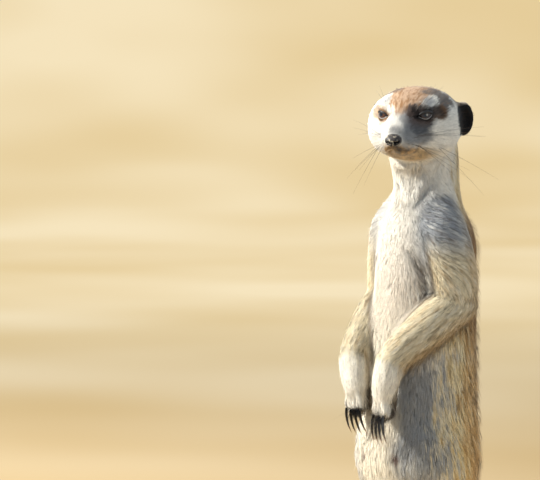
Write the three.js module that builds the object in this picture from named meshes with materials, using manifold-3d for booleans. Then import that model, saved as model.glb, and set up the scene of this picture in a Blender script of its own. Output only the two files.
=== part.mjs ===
// A life-size meerkat that stands upright on its hind feet, with its tail on the floor behind it, its hands
// hanging in front of the belly and its head turned to its own left. Millimetres, +Z up.
// The animal faces -Y, +X is its left side, and the floor is Z = 0. Each named body part is one closed
// solid, out to the tips of the coat, with a thin gap to its neighbours.
import * as THREE from "three";
import { mergeVertices } from "three/addons/utils/BufferGeometryUtils.js";
import Module from "manifold-3d";

const wasm = await Module();
wasm.setup();

// ---------------------------------------------------------------- driving sizes
const GAP = 0.3; // clearance between neighbouring solids
const NECK_PIVOT = { y: 0, z: 285 }; // where the skull sits on the neck
const HEAD_TURN = 33.5; // degrees, towards the animal's left
const HEAD_NOD = 4; // degrees, nose down
const PIVOT_FROM_NOSE = 70; // nose tip to the neck pivot, along the head
const EYE = { radius: 5.2, side: 9.9, fromNose: 31, up: 9.3 };
const SHOULDER = { x: 20.5, y: -4, z: 235 };
const ELBOW = { x: 30.5, y: 0.5, z: 185 };
const WRIST = { x: 16, y: -39, z: 154 };
const KNUCKLES = { left: { x: 14.2, y: -42.6, z: 133.4 }, right: { x: 9, y: -42.2, z: 135.4 } };
const HIP = { x: 18, y: 0, z: 104 };
const KNEE = { x: 23, y: -9, z: 60 };
const ANKLE = { x: 21.5, y: 13, z: 17 };
const FOOT = { heel: 19, ball: -28, height: 6, x: 23 };
const FINGERS = 4;
const FINGER_SPREAD = 2.65; // between neighbouring fingers
const FINGER_CLAW = { length: 16.5, thick: 1.35, curl: 44 };
const HAND_TURN = { left: 10, right: 3 }; // degrees that the line of knuckles turns forwards at its outer end
const CLAW_REACH = { left: 18, right: 2 }; // degrees that the claws leave the fingers forwards of straight down
const TOE_SPREAD = 4.9;
const TOE_CLAW = { length: 10, thick: 1.5, curl: 48 };
const NECK_CUT = 241; // height of the cut between neck and chest
const WAIST_CUT = 168; // height of the cut between chest and belly
const TAIL_CUTS = [0.32, 0.56, 0.8]; // shares of the tail's length
const ORIGIN = { x: 0.22, y: 66.96 }; // middle of the model's bounding box, in the coordinates used here

const COLOURS = {
  cream: { color: 0xd9cdb2, roughness: 0.9 },
  white: { color: 0xe9e4d6, roughness: 0.9 },
  tan: { color: 0xb99a6c, roughness: 0.9 },
  dark: { color: 0x1d1714, roughness: 0.85 },
  nose: { color: 0x3a2b25, roughness: 0.45 },
  eye: { color: 0x2a1608, roughness: 0.08 },
  claw: { color: 0x2b221d, roughness: 0.35 },
};
const materials = Object.fromEntries(
  Object.entries(COLOURS).map(([name, look]) => {
    return [name, new THREE.MeshStandardMaterial({ name, metalness: 0, ...look })];
  }),
);

// ---------------------------------------------------------------- small helpers
const X_AXIS = new THREE.Vector3(1, 0, 0);
const vec = (x, y, z) => new THREE.Vector3(x, y, z);
const rad = THREE.MathUtils.degToRad;
const place = ({ x, y, z }, side = 1) => vec(x * side, y, z);

// A value that runs smoothly through one number for each station.
function through(values) {
  const curve = new THREE.CatmullRomCurve3(values.map((v) => vec(v, 0, 0)), false, "catmullrom", 0.5);
  return (t) => curve.getPoint(t).x;
}

// A closed body through stations, each { at, wide, plus, minus }: its middle, its half width along `side`,
// and its half depths to either side across that. `ends` says how far each end bulges, as a share of its
// radius, `puff` swells the body all over, and a `square` above 2 fills out the corners of its sections.
function loft(stations, { sides = 16, rings = 16, side = X_AXIS, ends = [1, 1], puff = 0, square = 2 } = {}) {
  const middle = new THREE.CatmullRomCurve3(stations.map((s) => s.at), false, "catmullrom", 0.5);
  const wide = through(stations.map((s) => s.wide));
  const plus = through(stations.map((s) => s.plus ?? s.wide));
  const minus = through(stations.map((s) => s.minus ?? s.plus ?? s.wide));
  const points = [];
  const addRing = (t, along, shrink) => {
    const tangent = middle.getTangent(t);
    const across = side.clone().addScaledVector(tangent, -side.dot(tangent)).normalize();
    const up = tangent.clone().cross(across);
    const centre = middle.getPoint(t).addScaledVector(tangent, along);
    for (let j = 0; j < sides; j++) {
      const angle = (2 * Math.PI * j) / sides;
      const rounded = (value) => Math.sign(value) * Math.abs(value) ** (2 / square);
      const c = rounded(Math.cos(angle));
      const s = rounded(Math.sin(angle));
      const depth = s > 0 ? plus(t) : minus(t);
      const p = centre.clone();
      p.addScaledVector(across, c * (wide(t) + puff) * shrink);
      p.addScaledVector(up, s * (depth + puff) * shrink);
      points.push(p);
    }
  };
  const endRadius = (t) => (wide(t) + plus(t) + minus(t)) / 3 + puff;
  const domeSteps = sides > 14 ? [0.85, 0.5] : [0.7];
  const dome = (t, sign, round) => {
    const list = round > 0 ? domeSteps : [];
    const steps = sign < 0 ? list : [...list].reverse();
    for (const share of steps) addRing(t, sign * share * round * endRadius(t), Math.sqrt(1 - share * share));
  };
  const pole = (t, sign, round) => {
    const reach = round > 0 ? round * endRadius(t) : puff;
    return middle.getPoint(t).addScaledVector(middle.getTangent(t), sign * reach);
  };
  dome(0, -1, ends[0]);
  for (let i = 0; i <= rings; i++) addRing(i / rings, 0, 1);
  dome(1, 1, ends[1]);
  const ringCount = points.length / sides;
  const first = points.push(pole(0, -1, ends[0])) - 1;
  const last = points.push(pole(1, 1, ends[1])) - 1;
  const faces = [];
  for (let j = 0; j < sides; j++) {
    const k = (j + 1) % sides;
    faces.push(first, k, j);
    for (let i = 0; i + 1 < ringCount; i++) {
      const a = i * sides;
      const b = a + sides;
      faces.push(a + j, a + k, b + k, a + j, b + k, b + j);
    }
    const a = (ringCount - 1) * sides;
    faces.push(last, a + j, a + k);
  }
  const geometry = new THREE.BufferGeometry();
  geometry.setAttribute("position", new THREE.Float32BufferAttribute(points.flatMap((p) => p.toArray()), 3));
  return geometry.setIndex(faces);
}

// Between three.js geometries and solids that can be cut and joined.
function solid(geometry) {
  const bare = geometry.clone();
  bare.deleteAttribute("normal");
  bare.deleteAttribute("uv");
  const merged = mergeVertices(bare, 1e-4);
  return new wasm.Manifold(
    new wasm.Mesh({
      numProp: 3,
      vertProperties: new Float32Array(merged.attributes.position.array),
      triVerts: new Uint32Array(merged.index.array),
    }),
  );
}

function geometryOf(body) {
  const mesh = body.getMesh();
  const geometry = new THREE.BufferGeometry();
  geometry.setAttribute("position", new THREE.BufferAttribute(new Float32Array(mesh.vertProperties), 3));
  geometry.setIndex(new THREE.BufferAttribute(new Uint32Array(mesh.triVerts), 1));
  geometry.computeVertexNormals();
  return geometry;
}

// An ellipsoid solid: half sizes, middle, and an optional tilt about X and turn about the vertical.
function ellipsoid(half, at, { turn = 0, tilt = 0, across = 10, puff = 0 } = {}) {
  const ball = new THREE.SphereGeometry(1, across, Math.round(across * 0.55));
  ball.scale(half.x + puff, half.y + puff, half.z + puff);
  ball.rotateX(rad(tilt)).rotateZ(rad(turn)).translate(at.x, at.y, at.z);
  return solid(ball);
}

// Everything on one side of a plane through `at`, the side that `normal` points to.
function halfSpace(at, normal) {
  const reach = 600; // longer than the model in every direction
  const block = new THREE.BoxGeometry(reach, reach, reach).translate(0, 0, reach / 2);
  const turned = new THREE.Quaternion().setFromUnitVectors(vec(0, 0, 1), normal.clone().normalize());
  return solid(block.applyQuaternion(turned).translate(at.x, at.y, at.z));
}

// The two sides of a thin cut through a body.
function cut(body, at, normal) {
  const direction = normal.clone().normalize();
  const ahead = halfSpace(at.clone().addScaledVector(direction, GAP / 2), direction);
  const behind = halfSpace(at.clone().addScaledVector(direction, -GAP / 2), direction.clone().negate());
  return [body.intersect(behind), body.intersect(ahead)];
}

const aboveFloor = halfSpace(vec(0, 0, 0), vec(0, 0, 1));
const model = new THREE.Group();

function add(name, body, material, parent = model) {
  const mesh = new THREE.Mesh(geometryOf(body), materials[material]);
  mesh.name = name;
  parent.add(mesh);
}

// ---------------------------------------------------------------- head, in its own frame
// The head's frame has the neck pivot at its origin and the nose towards -Y.
const fromNose = (back, up = 0, x = 0) => vec(x, back - PIVOT_FROM_NOSE, up);

// Distance from the nose tip, top and bottom of the outline, and half width.
const HEAD_SECTIONS = [
  { name: "back of the skull", back: 78, top: 14, bottom: -9, wide: 13 },
  { name: "occiput", back: 73, top: 19, bottom: -13, wide: 19.5 },
  { name: "behind the ears", back: 66, top: 21.8, bottom: -17, wide: 23.6 },
  { name: "braincase", back: 58, top: 22.6, bottom: -19, wide: 25.8 },
  { name: "cheeks", back: 50, top: 22, bottom: -19.5, wide: 26.4 },
  { name: "temples", back: 42, top: 20.8, bottom: -18.4, wide: 25 },
  { name: "eyes", back: 34, top: 18.6, bottom: -16.4, wide: 19.4 },
  { name: "inner eye corners", back: 27.5, top: 15.2, bottom: -14.8, wide: 14 },
  { name: "muzzle root", back: 22, top: 11.6, bottom: -13.6, wide: 11.4 },
  { name: "whisker pads", back: 15, top: 7.9, bottom: -12.2, wide: 10 },
  { name: "lips", back: 8.5, top: 5.2, bottom: -9.8, wide: 7.6 },
  { name: "nose end", back: 3.5, top: 2.8, bottom: -6.4, wide: 4.8 },
];

function headBody(puff = 0) {
  const stations = HEAD_SECTIONS.map(({ back, top, bottom, wide }) => ({
    at: fromNose(back, (top + bottom) / 2),
    wide,
    plus: (top - bottom) / 2,
  }));
  return solid(loft(stations, { sides: 22, rings: 15, ends: [0.3, 0.45], puff, square: 2.15 }));
}

const eyeAt = (side) => fromNose(EYE.fromNose, EYE.up, side * EYE.side);
const eyeBall = (side, puff = 0) => ellipsoid(vec(EYE.radius, EYE.radius, EYE.radius), eyeAt(side), { puff });

// The nose pad, blunt in front and under-cut towards the lip.
const nosePad = (puff = 0) => ellipsoid(vec(4.6, 4.3, 3.6), fromNose(4.3, -0.8), { tilt: 12, puff });

// An ear is a low standing cup, open forwards and outwards.
const EAR = { fromNose: 66.5, up: 3.4, side: 24, half: vec(6.6, 4, 10.5), turn: 30 };
const EAR_HOLLOW = { outwards: 1.6, forwards: 3.6, down: 0.5, half: vec(5.4, 4, 8.6) };

function ear(side) {
  const at = fromNose(EAR.fromNose, EAR.up, EAR.side * side);
  const { outwards, forwards, down, half } = EAR_HOLLOW;
  const hollowAt = at.clone().add(vec(outwards * side, -forwards, -down));
  const turned = { turn: EAR.turn * side };
  return ellipsoid(EAR.half, at, turned).subtract(ellipsoid(half, hollowAt, turned));
}

// ---------------------------------------------------------------- trunk and neck, one form that is cut
const TRUNK_SECTIONS = [
  { name: "nape", z: 288, y: 4, wide: 15, back: 12.5, front: 14 },
  { name: "skull base", z: 273, y: 2, wide: 19.4, back: 18.5, front: 18.8 },
  { name: "throat", z: 256, y: 1, wide: 19.6, back: 21, front: 18.8 },
  { name: "neck root", z: 244, y: 0, wide: 21, back: 23, front: 20 },
  { name: "shoulder tops", z: 233, y: -1, wide: 24.5, back: 29.5, front: 22 },
  { name: "shoulders", z: 219, y: -1, wide: 26.5, back: 34.5, front: 24.5 },
  { name: "shoulder blades", z: 206, y: -1, wide: 26.5, back: 34.5, front: 27 },
  { name: "ribs", z: 188, y: 0, wide: 27, back: 34, front: 29.5 },
  { name: "waist", z: 168, y: 0, wide: 28, back: 33.5, front: 31 },
  { name: "belly", z: 146, y: 0, wide: 29.5, back: 33, front: 32.5 },
  { name: "low belly", z: 124, y: 0, wide: 31.5, back: 32.5, front: 36.5 },
  { name: "hips", z: 103, y: 0, wide: 33.5, back: 32.5, front: 38.5 },
  { name: "rump", z: 84, y: 1, wide: 32, back: 34, front: 34 },
  { name: "crotch", z: 67, y: 4, wide: 25, back: 28, front: 25 },
];

function trunkBody(puff = 0) {
  const stations = TRUNK_SECTIONS.map(({ z, y, wide, back, front }) => ({
    at: vec(0, y, z),
    wide,
    plus: front,
    minus: back,
  }));
  return solid(loft(stations, { sides: 18, rings: 15, ends: [0.4, 0.42], puff }));
}

// ---------------------------------------------------------------- limbs
function limb(list, side, options = {}) {
  const stations = list.map(([point, wide, plus, minus]) => ({ at: place(point, side), wide, plus, minus }));
  return solid(loft(stations, { sides: 10, rings: 5, ...options }));
}

const mix = (a, b, t) => ({ x: a.x + (b.x - a.x) * t, y: a.y + (b.y - a.y) * t, z: a.z + (b.z - a.z) * t });
const moved = (p, dx, dy, dz) => ({ x: p.x + dx, y: p.y + dy, z: p.z + dz });

const upperArm = (side, puff = 0) =>
  limb(
    [
      [moved(SHOULDER, -3, 0, 4), 10, 12],
      [moved(SHOULDER, 0, 0, -9), 12, 16],
      [mix(SHOULDER, ELBOW, 0.5), 12, 15],
      [mix(SHOULDER, ELBOW, 0.82), 11.5, 14.5],
      [moved(ELBOW, -1, 0, 2), 10, 12.5],
    ],
    side,
    { ends: [0.7, 0.85], puff },
  );

const foreArm = (side, puff = 0) =>
  limb(
    [
      [moved(ELBOW, 0, 3, -0.5), 9.5, 11, 10],
      [mix(ELBOW, WRIST, 0.2), 10.8, 14, 11],
      [mix(ELBOW, WRIST, 0.45), 10.6, 13.5, 10.6],
      [mix(ELBOW, WRIST, 0.75), 9.8, 11.8, 9.8],
      [moved(WRIST, 0.4, 2, 0.5), 9, 10, 9.2],
    ],
    side,
    { ends: [0.85, 0.8], puff },
  );

// The knuckles, the angle that their line turns by, and a place outwards along that line or ahead of it.
function handFrame(side) {
  const knuckles = side > 0 ? KNUCKLES.left : KNUCKLES.right;
  const turn = rad(side > 0 ? HAND_TURN.left : HAND_TURN.right);
  const out = (from, outwards, ahead, up) =>
    moved(
      from,
      outwards * Math.cos(turn) - ahead * Math.sin(turn),
      -outwards * Math.sin(turn) - ahead * Math.cos(turn),
      up,
    );
  return { knuckles, turn, out, line: vec(Math.cos(turn), -Math.sin(turn) * side, 0) };
}

// The palm hangs from the wrist, with its back turned forwards.
function palm(side, puff = 0) {
  const { knuckles, line } = handFrame(side);
  return limb(
    [
      [moved(WRIST, 0, 1, -1), 8.6, 9],
      [mix(WRIST, knuckles, 0.4), 8.4, 8.4],
      [mix(WRIST, knuckles, 0.75), 8, 7.6],
      [knuckles, 6.8, 6.4],
    ],
    side,
    { rings: 4, ends: [0.8, 0.6], puff, side: line },
  );
}

// A tapered hook: it leaves `from` along `out` and curls towards `down`, through `curl` degrees.
function claw(from, out, down, { length, thick, curl }, puff = 0) {
  const radius = length / rad(curl);
  const bent = (share) => {
    const angle = rad(curl) * share;
    return from
      .clone()
      .addScaledVector(out, radius * Math.sin(angle))
      .addScaledVector(down, radius * (1 - Math.cos(angle)));
  };
  const taper = [
    [0, 1],
    [0.3, 0.95],
    [0.65, 0.66],
    [1, 0.2],
  ];
  const stations = taper.map(([share, size]) => ({
    at: bent(share),
    wide: thick * size * 0.8,
    plus: thick * size * 1.15,
  }));
  const side = out.clone().cross(down).normalize();
  return solid(loft(stations, { sides: 5, rings: 3, side, ends: [0, 0], puff }));
}

// Fingers fan a little from the knuckle line. Each carries one long claw.
function fingers(side) {
  const { knuckles, turn, out, line } = handFrame(side);
  const reach = rad(side > 0 ? CLAW_REACH.left : CLAW_REACH.right);
  return Array.from({ length: FINGERS }, (_, i) => {
    const offset = i - (FINGERS - 1) / 2;
    const middle = 1 - Math.abs(offset) / 3;
    const root = out(knuckles, offset * FINGER_SPREAD * 0.85, 0.7, 2);
    const tip = out(knuckles, offset * FINGER_SPREAD, 1.6, -8 - 2.5 * middle);
    const flesh = (puff = 0) =>
      limb(
        [
          [root, 2.7, 3.6],
          [mix(root, tip, 0.55), 2.4, 3.4],
          [tip, 2.1, 2.9],
        ],
        side,
        { sides: 6, rings: 2, ends: [0, 0.8], puff, side: line },
      );
    const towardsPalm = vec(Math.sin(turn) * side, Math.cos(turn), 0);
    const ahead = vec(0, 0, -1)
      .addScaledVector(towardsPalm, -Math.tan(reach))
      .addScaledVector(line, 0.05 * offset * side)
      .normalize();
    const down = towardsPalm.addScaledVector(ahead, -towardsPalm.dot(ahead)).normalize();
    const from = place(out(tip, 0, 1.3, -0.6), side);
    const hook = (puff = 0) => claw(from, ahead, down, FINGER_CLAW, puff);
    return { flesh, hook };
  });
}

const thigh = (side, puff = 0) =>
  limb(
    [
      [moved(HIP, -4, -3, 17), 10, 16],
      [moved(HIP, 0, -5, 3), 18.3, 28.5, 22],
      [mix(HIP, KNEE, 0.4), 18, 26, 22],
      [mix(HIP, KNEE, 0.78), 14, 17.5],
      [KNEE, 12, 13],
    ],
    side,
    { sides: 12, rings: 5, ends: [0.6, 0.8], puff },
  );

const shank = (side, puff = 0) =>
  limb(
    [
      [moved(KNEE, 0, 1, -1), 10.8, 12],
      [mix(KNEE, ANKLE, 0.3), 10.2, 12],
      [mix(KNEE, ANKLE, 0.65), 8, 9],
      [mix(KNEE, ANKLE, 0.9), 6.8, 7.4],
      [ANKLE, 6.6, 7.4],
    ],
    side,
    { rings: 5, ends: [0.8, 0.9], puff },
  );

// A foot lies flat from heel to ball. Its underside dips just below the floor and is cut off there.
function sole(side, puff = 0) {
  const { heel, ball, height, x } = FOOT;
  const stations = [
    { at: vec((x - 1.5) * side, heel, height + 1.5), wide: 6, plus: 8, minus: 8.2 },
    { at: vec((x - 1) * side, heel - 9, height + 1), wide: 6.4, plus: 7.6, minus: 7.7 },
    { at: vec((x - 0.5) * side, (heel + ball) / 2, height), wide: 7.2, plus: 6.6, minus: 5.5 },
    { at: vec((x + 0.3) * side, ball + 8, height - 0.5), wide: 9.6, plus: 6.2, minus: 6 },
    { at: vec((x + 0.8) * side, ball, height - 0.8), wide: 10, plus: 6, minus: 5.8 },
  ];
  // Seen along the foot, the depth that points down is `minus`.
  return solid(loft(stations, { sides: 10, rings: 5, ends: [0.6, 0.5], puff }));
}

function toes(side) {
  return Array.from({ length: FINGERS }, (_, i) => {
    const offset = i - (FINGERS - 1) / 2;
    const middle = 1 - Math.abs(offset) / 3;
    const root = { x: FOOT.x + 0.8 + offset * TOE_SPREAD * 0.9, y: FOOT.ball + 1, z: 4.6 };
    const tip = { x: FOOT.x + 1.2 + offset * TOE_SPREAD, y: FOOT.ball - 9 - 4 * middle, z: 3.4 };
    const flesh = (puff = 0) =>
      limb(
        [
          [root, 3.2, 4.6, 5],
          [mix(root, tip, 0.55), 3, 4.2, 4.5],
          [tip, 2.6, 3.4, 4],
        ],
        side,
        { sides: 6, rings: 2, ends: [0, 0.8], puff },
      );
    const out = vec(0.05 * offset * side, -1, 0.12).normalize();
    const down = vec(0, 0, -1).addScaledVector(out, out.z).normalize();
    const hook = (puff = 0) => claw(place(moved(tip, 0, -0.6, 1.6), side), out, down, TOE_CLAW, puff);
    return { flesh, hook };
  });
}

// ---------------------------------------------------------------- tail
// From the rump down to the floor, then back along it. The underside of that last stretch is flat.
const TAIL_STATIONS = [
  { at: vec(0, 20, 84), wide: 12, plus: 12 },
  { at: vec(0, 36, 68), wide: 10, plus: 10 },
  { at: vec(0, 49, 46), wide: 8.4, plus: 8.4 },
  { at: vec(1, 64, 23), wide: 7.2, plus: 7.2 },
  { at: vec(3, 86, 8.6), wide: 6.4, plus: 6.6 },
  { at: vec(6, 114, 5.2), wide: 5.8, plus: 5.8 },
  { at: vec(9, 144, 4.6), wide: 5, plus: 5.1 },
  { at: vec(11, 170, 3.6), wide: 3.9, plus: 4 },
  { at: vec(12, 190, 2.2), wide: 2.2, plus: 2.4 },
];
const tailLoft = () => solid(loft(TAIL_STATIONS, { sides: 8, rings: 18, ends: [0.5, 1.2] }));

// ---------------------------------------------------------------- assembly
const head = new THREE.Group();
head.position.set(0, NECK_PIVOT.y, NECK_PIVOT.z);
head.rotation.set(rad(HEAD_NOD), 0, rad(HEAD_TURN), "ZXY");
head.updateMatrix();
const inModelFrame = (body) => solid(geometryOf(body).applyMatrix4(head.matrix));

let skull = headBody();
for (const side of [1, -1]) skull = skull.subtract(eyeBall(side, GAP));
skull = skull.subtract(nosePad(GAP));
add("head", skull, "cream", head);
add("nose", nosePad(), "nose", head);
const headForEars = headBody(GAP);
for (const [side, name] of [
  [1, "left"],
  [-1, "right"],
]) {
  add("eye_" + name, eyeBall(side), "eye", head);
  add("ear_" + name, ear(side).subtract(headForEars), "dark", head);
}

const headInModel = inModelFrame(headBody(GAP));
const trunk = trunkBody();
const [belowNeck, neck] = cut(trunk, vec(0, 0, NECK_CUT), vec(0, 0, 1));
const [belly, chest] = cut(belowNeck, vec(0, 0, WAIST_CUT), vec(0, 0, 1));

const wholeTrunk = trunkBody(GAP);
const tail = tailLoft().intersect(aboveFloor);
add("neck", neck.subtract(headInModel), "white");
add("chest", chest, "cream");

for (const [side, name] of [
  [1, "left"],
  [-1, "right"],
]) {
  const upper = upperArm(side).subtract(wholeTrunk).subtract(headInModel);
  const lower = foreArm(side).subtract(upperArm(side, GAP)).subtract(wholeTrunk);
  add("upper_arm_" + name, upper, "cream");
  add("forearm_" + name, lower, "cream");

  const digits = fingers(side);
  let hand = palm(side).subtract(foreArm(side, GAP)).subtract(wholeTrunk);
  for (const { flesh } of digits) hand = hand.add(flesh());
  for (const { hook } of digits) hand = hand.subtract(hook(GAP));
  add("hand_" + name, hand.subtract(wholeTrunk), "cream");
  digits.forEach(({ hook }, i) => add(`claw_hand_${name}_${i + 1}`, hook(), "claw"));

  const upperLeg = thigh(side).subtract(wholeTrunk);
  const lowerLeg = shank(side).subtract(thigh(side, GAP)).subtract(wholeTrunk);
  add("thigh_" + name, upperLeg, "cream");
  add("shank_" + name, lowerLeg.subtract(sole(side, GAP)), "cream");
  const toeList = toes(side);
  let foot = sole(side);
  for (const { flesh } of toeList) foot = foot.add(flesh());
  for (const { hook } of toeList) foot = foot.subtract(hook(GAP));
  add("foot_" + name, foot.intersect(aboveFloor), "cream");
  toeList.forEach(({ hook }, i) => add(`claw_foot_${name}_${i + 1}`, hook().intersect(aboveFloor), "claw"));
}
add("belly", belly, "cream");

// The tail leaves the rump and is cut across into lengths.
const tailCurve = new THREE.CatmullRomCurve3(TAIL_STATIONS.map((s) => s.at), false, "catmullrom", 0.5);
const tailNames = ["tail_root", "tail_middle", "tail_low", "tail_tip"];
let restOfTail = tail.subtract(wholeTrunk);
tailNames.forEach((name, i) => {
  const share = TAIL_CUTS[i];
  if (share === undefined) {
    add(name, restOfTail, "dark");
    return;
  }
  const [piece, further] = cut(restOfTail, tailCurve.getPoint(share), tailCurve.getTangent(share));
  add(name, piece, "tan");
  restOfTail = further;
});

model.add(head);
model.position.set(-ORIGIN.x, -ORIGIN.y, 0);
export default model;
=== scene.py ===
"""Meerkat standing upright on its hind legs: the skin, coat, eyes, nose, claws and whiskers."""

import itertools
import math

import bmesh
import bpy
import numpy as np
from mathutils import Matrix, Vector
from mathutils.bvhtree import BVHTree
from mathutils.kdtree import KDTree


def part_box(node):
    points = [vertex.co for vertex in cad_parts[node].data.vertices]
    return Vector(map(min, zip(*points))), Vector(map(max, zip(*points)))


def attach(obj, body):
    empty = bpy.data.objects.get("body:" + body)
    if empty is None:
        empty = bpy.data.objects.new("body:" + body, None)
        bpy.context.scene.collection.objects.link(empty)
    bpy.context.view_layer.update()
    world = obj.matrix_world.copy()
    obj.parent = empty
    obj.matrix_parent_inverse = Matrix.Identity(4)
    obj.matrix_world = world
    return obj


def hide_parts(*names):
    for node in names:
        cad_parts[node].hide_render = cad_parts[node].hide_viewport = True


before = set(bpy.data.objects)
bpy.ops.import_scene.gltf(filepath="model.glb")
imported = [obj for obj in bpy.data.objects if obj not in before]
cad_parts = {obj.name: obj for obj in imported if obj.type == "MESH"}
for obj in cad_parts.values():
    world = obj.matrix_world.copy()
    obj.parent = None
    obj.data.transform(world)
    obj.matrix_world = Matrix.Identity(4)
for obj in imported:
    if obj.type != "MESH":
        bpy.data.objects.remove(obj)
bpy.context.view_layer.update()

bl_info = {
    "name": "Meerkat",
    "version": (1, 0, 0),
    "blender": (4, 5, 0),
    "location": "View3D > Sidebar > Meerkat",
    "description": "Dresses a meerkat's solids with skin, coat, eyes, nose, claws and whiskers",
    "category": "Object",
}

MM = 0.001
BAKE_MAP = "OFBake"
COLOUR_MAP = "coat_colour"

# The parts of flesh that one skin covers, in the order that the skin numbers them.
SIDES = ("left", "right")
PAIRED = ("ear", "upper_arm", "forearm", "hand", "thigh", "shank", "foot")
FLESH = ["head", "neck", "chest", "belly", "tail_root", "tail_middle", "tail_low", "tail_tip"]
FLESH += [f"{part}_{side}" for part in PAIRED for side in SIDES]
FILLED = ["nose", "eye_left", "eye_right"]
LIMBS = (("upper_arm", "forearm", "hand"), ("thigh", "shank", "foot"))
TAIL = ("tail_root", "tail_middle", "tail_low", "tail_tip")
DIGITS = (1, 2, 3, 4)
CLAWS = [f"claw_{limb}_{side}_{digit}" for limb in ("hand", "foot") for side in SIDES for digit in DIGITS]

# Head measures in millimetres: side is to its left, back is behind the nose tip, up is over it.
EYE_RADIUS = 5.2
EYE_BACK, EYE_UP = 31.0, 9.3
NOSE_BACK, NOSE_UP = 4.3, -0.8
NOSE_HALF = (4.6, 4.3, 3.4)
PAD_MIDDLE = (0.0, 3.9, -1.9)
GAZE = (0.60, -0.79, 0.10)
# The opening between the lids, in degrees seen from the middle of the eye.
OPENING_WIDE, OPENING_OVER, OPENING_UNDER = 57.0, 16.5, 26.0
OPENING_TILT = 7.0
OPENING_CURVE = 2.2  # how full its almond is

DOWN = np.array((0.0, 0.0, -1.0))


def srgb(code):
    """A six-digit sRGB hex colour as a linear triple."""
    parts = [int(code[i : i + 2], 16) / 255 for i in (1, 3, 5)]
    return tuple(c / 12.92 if c <= 0.04045 else ((c + 0.055) / 1.055) ** 2.4 for c in parts)


# -------- settings


class MeerkatCoatSettings(bpy.types.PropertyGroup):
    fullness: bpy.props.FloatProperty(
        name="Fullness", description="Tufts on each area, as a share of the full coat",
        default=1.0, min=0.1, max=1.5, subtype="FACTOR",
    )
    clumping: bpy.props.FloatProperty(
        name="Clumping", description="How far the tips of neighbouring tufts draw together",
        default=0.5, min=0.0, max=1.0, subtype="FACTOR",
    )
    whisker: bpy.props.FloatProperty(
        name="Whisker length", description="Length of the longest whisker",
        default=0.058, min=0.02, max=0.09, unit="LENGTH",
    )


def colour_setting(name, description, code):
    """A colour in the sidebar."""
    return bpy.props.FloatVectorProperty(
        name=name, description=description, default=srgb(code), subtype="COLOR", min=0.0, max=1.0,
    )


class MeerkatColourSettings(bpy.types.PropertyGroup):
    white: colour_setting("White", "Throat, chest and cheeks", "#f1ebde")
    cream: colour_setting("Cream", "Arms and legs", "#decb9f")
    tan: colour_setting("Tan", "Flanks and tail", "#c9a26c")
    back: colour_setting("Back", "Grizzled back", "#a38968")
    band: colour_setting("Bands", "Dark bands across the back", "#4a382b")
    # The grey is also the base of the painted cool shade on the shoulders and the tops of the upper arms.
    grey: colour_setting("Grey", "Thin-haired grey of shoulders, belly and muzzle", "#8f8f91")
    crown: colour_setting("Crown", "Reddish crown", "#b08254")
    mask: colour_setting("Eye patches", "Dark patches round the eyes", "#2e241f")
    black: colour_setting("Black", "Ears and tail tip", "#0f0c0b")
    iris: colour_setting("Iris", "Iris at its brightest", "#4a2a12")


class MeerkatStageSettings(bpy.types.PropertyGroup):
    azimuth: bpy.props.FloatProperty(
        name="Azimuth", description="Camera's place round the animal, from its front towards its left",
        default=math.radians(50), subtype="ANGLE",
    )
    elevation: bpy.props.FloatProperty(
        name="Elevation", description="Camera's height over the horizon", default=math.radians(4),
        subtype="ANGLE",
    )
    distance: bpy.props.FloatProperty(
        name="Distance", description="Camera to animal", default=2.5, min=1.0, unit="LENGTH",
    )
    width: bpy.props.FloatProperty(
        name="Width", description="Width of the view at the animal", default=0.3067, min=0.05,
        unit="LENGTH",
    )
    key: bpy.props.FloatProperty(
        name="Key light", description="Power of the warm key light", default=101.0, min=0.0, unit="POWER",
    )
    sky: bpy.props.FloatProperty(
        name="Sky", description="Strength of the cool light from all round", default=0.62, min=0.0,
    )


# -------- small tools


def unit(vectors):
    """Rows scaled to length one."""
    return vectors / np.maximum(np.linalg.norm(vectors, axis=-1, keepdims=True), 1e-12)


def step(low, high, values):
    """Smooth change from 0 at low to 1 at high."""
    t = np.clip((values - low) / (high - low), 0.0, 1.0)
    return t * t * (3.0 - 2.0 * t)


def blob(points, centre, radii, soft=0.5):
    """1 inside an ellipsoid, fading to 0 outside it over the given share of its radius."""
    reach = np.linalg.norm((points - np.asarray(centre)) / np.asarray(radii), axis=-1)
    return 1.0 - step(1.0 - soft / 2, 1.0 + soft / 2, reach)


def bump(points, centre, radius):
    """A round bell of height 1."""
    gap = np.linalg.norm((points - np.asarray(centre)) / np.asarray(radius), axis=-1)
    return np.exp(-2.0 * gap * gap)


def mix(low, high, share):
    """Colours or numbers mixed row by row."""
    share = np.asarray(share)
    if share.ndim and np.ndim(high) and np.shape(high)[-1] == 3:
        share = share[..., None]
    return low * (1.0 - share) + np.asarray(high) * share


def plain(colour, points):
    """One colour for every point."""
    return np.tile(colour, (len(points), 1))


def lattice_noise(points, grain, seed):
    """Smooth random values from -1 to 1, with the given grain in the points' unit."""
    places = points / grain
    cell = np.floor(places).astype(np.int64)
    inside = places - cell
    inside = inside * inside * (3.0 - 2.0 * inside)
    total = np.zeros(len(points))
    for corner in itertools.product((0, 1), repeat=3):
        at = cell + np.array(corner)
        mixed = (at[:, 0] * 73856093) ^ (at[:, 1] * 19349663) ^ (at[:, 2] * 83492791) ^ (seed * 40503)
        mixed = (mixed ^ (mixed >> 13)) * 1274126177
        value = ((mixed ^ (mixed >> 16)) & 0xFFFF) / 32767.5 - 1.0
        total += value * np.prod(np.where(corner, inside, 1.0 - inside), axis=1)
    return total


def streaks(points, lie, grain, reach, seed):
    """Random values drawn out along the lie of the hair, roughly from -1 to 1. Sizes are in mm."""
    total = np.zeros(len(points))
    shifts = np.arange(-reach, reach + 0.01, grain * 0.8)
    for shift in shifts:
        total += lattice_noise(points + lie * (shift * MM), grain * MM, seed)
    return np.clip(total / math.sqrt(len(shifts)) * 1.3, -1.6, 1.6)


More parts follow.
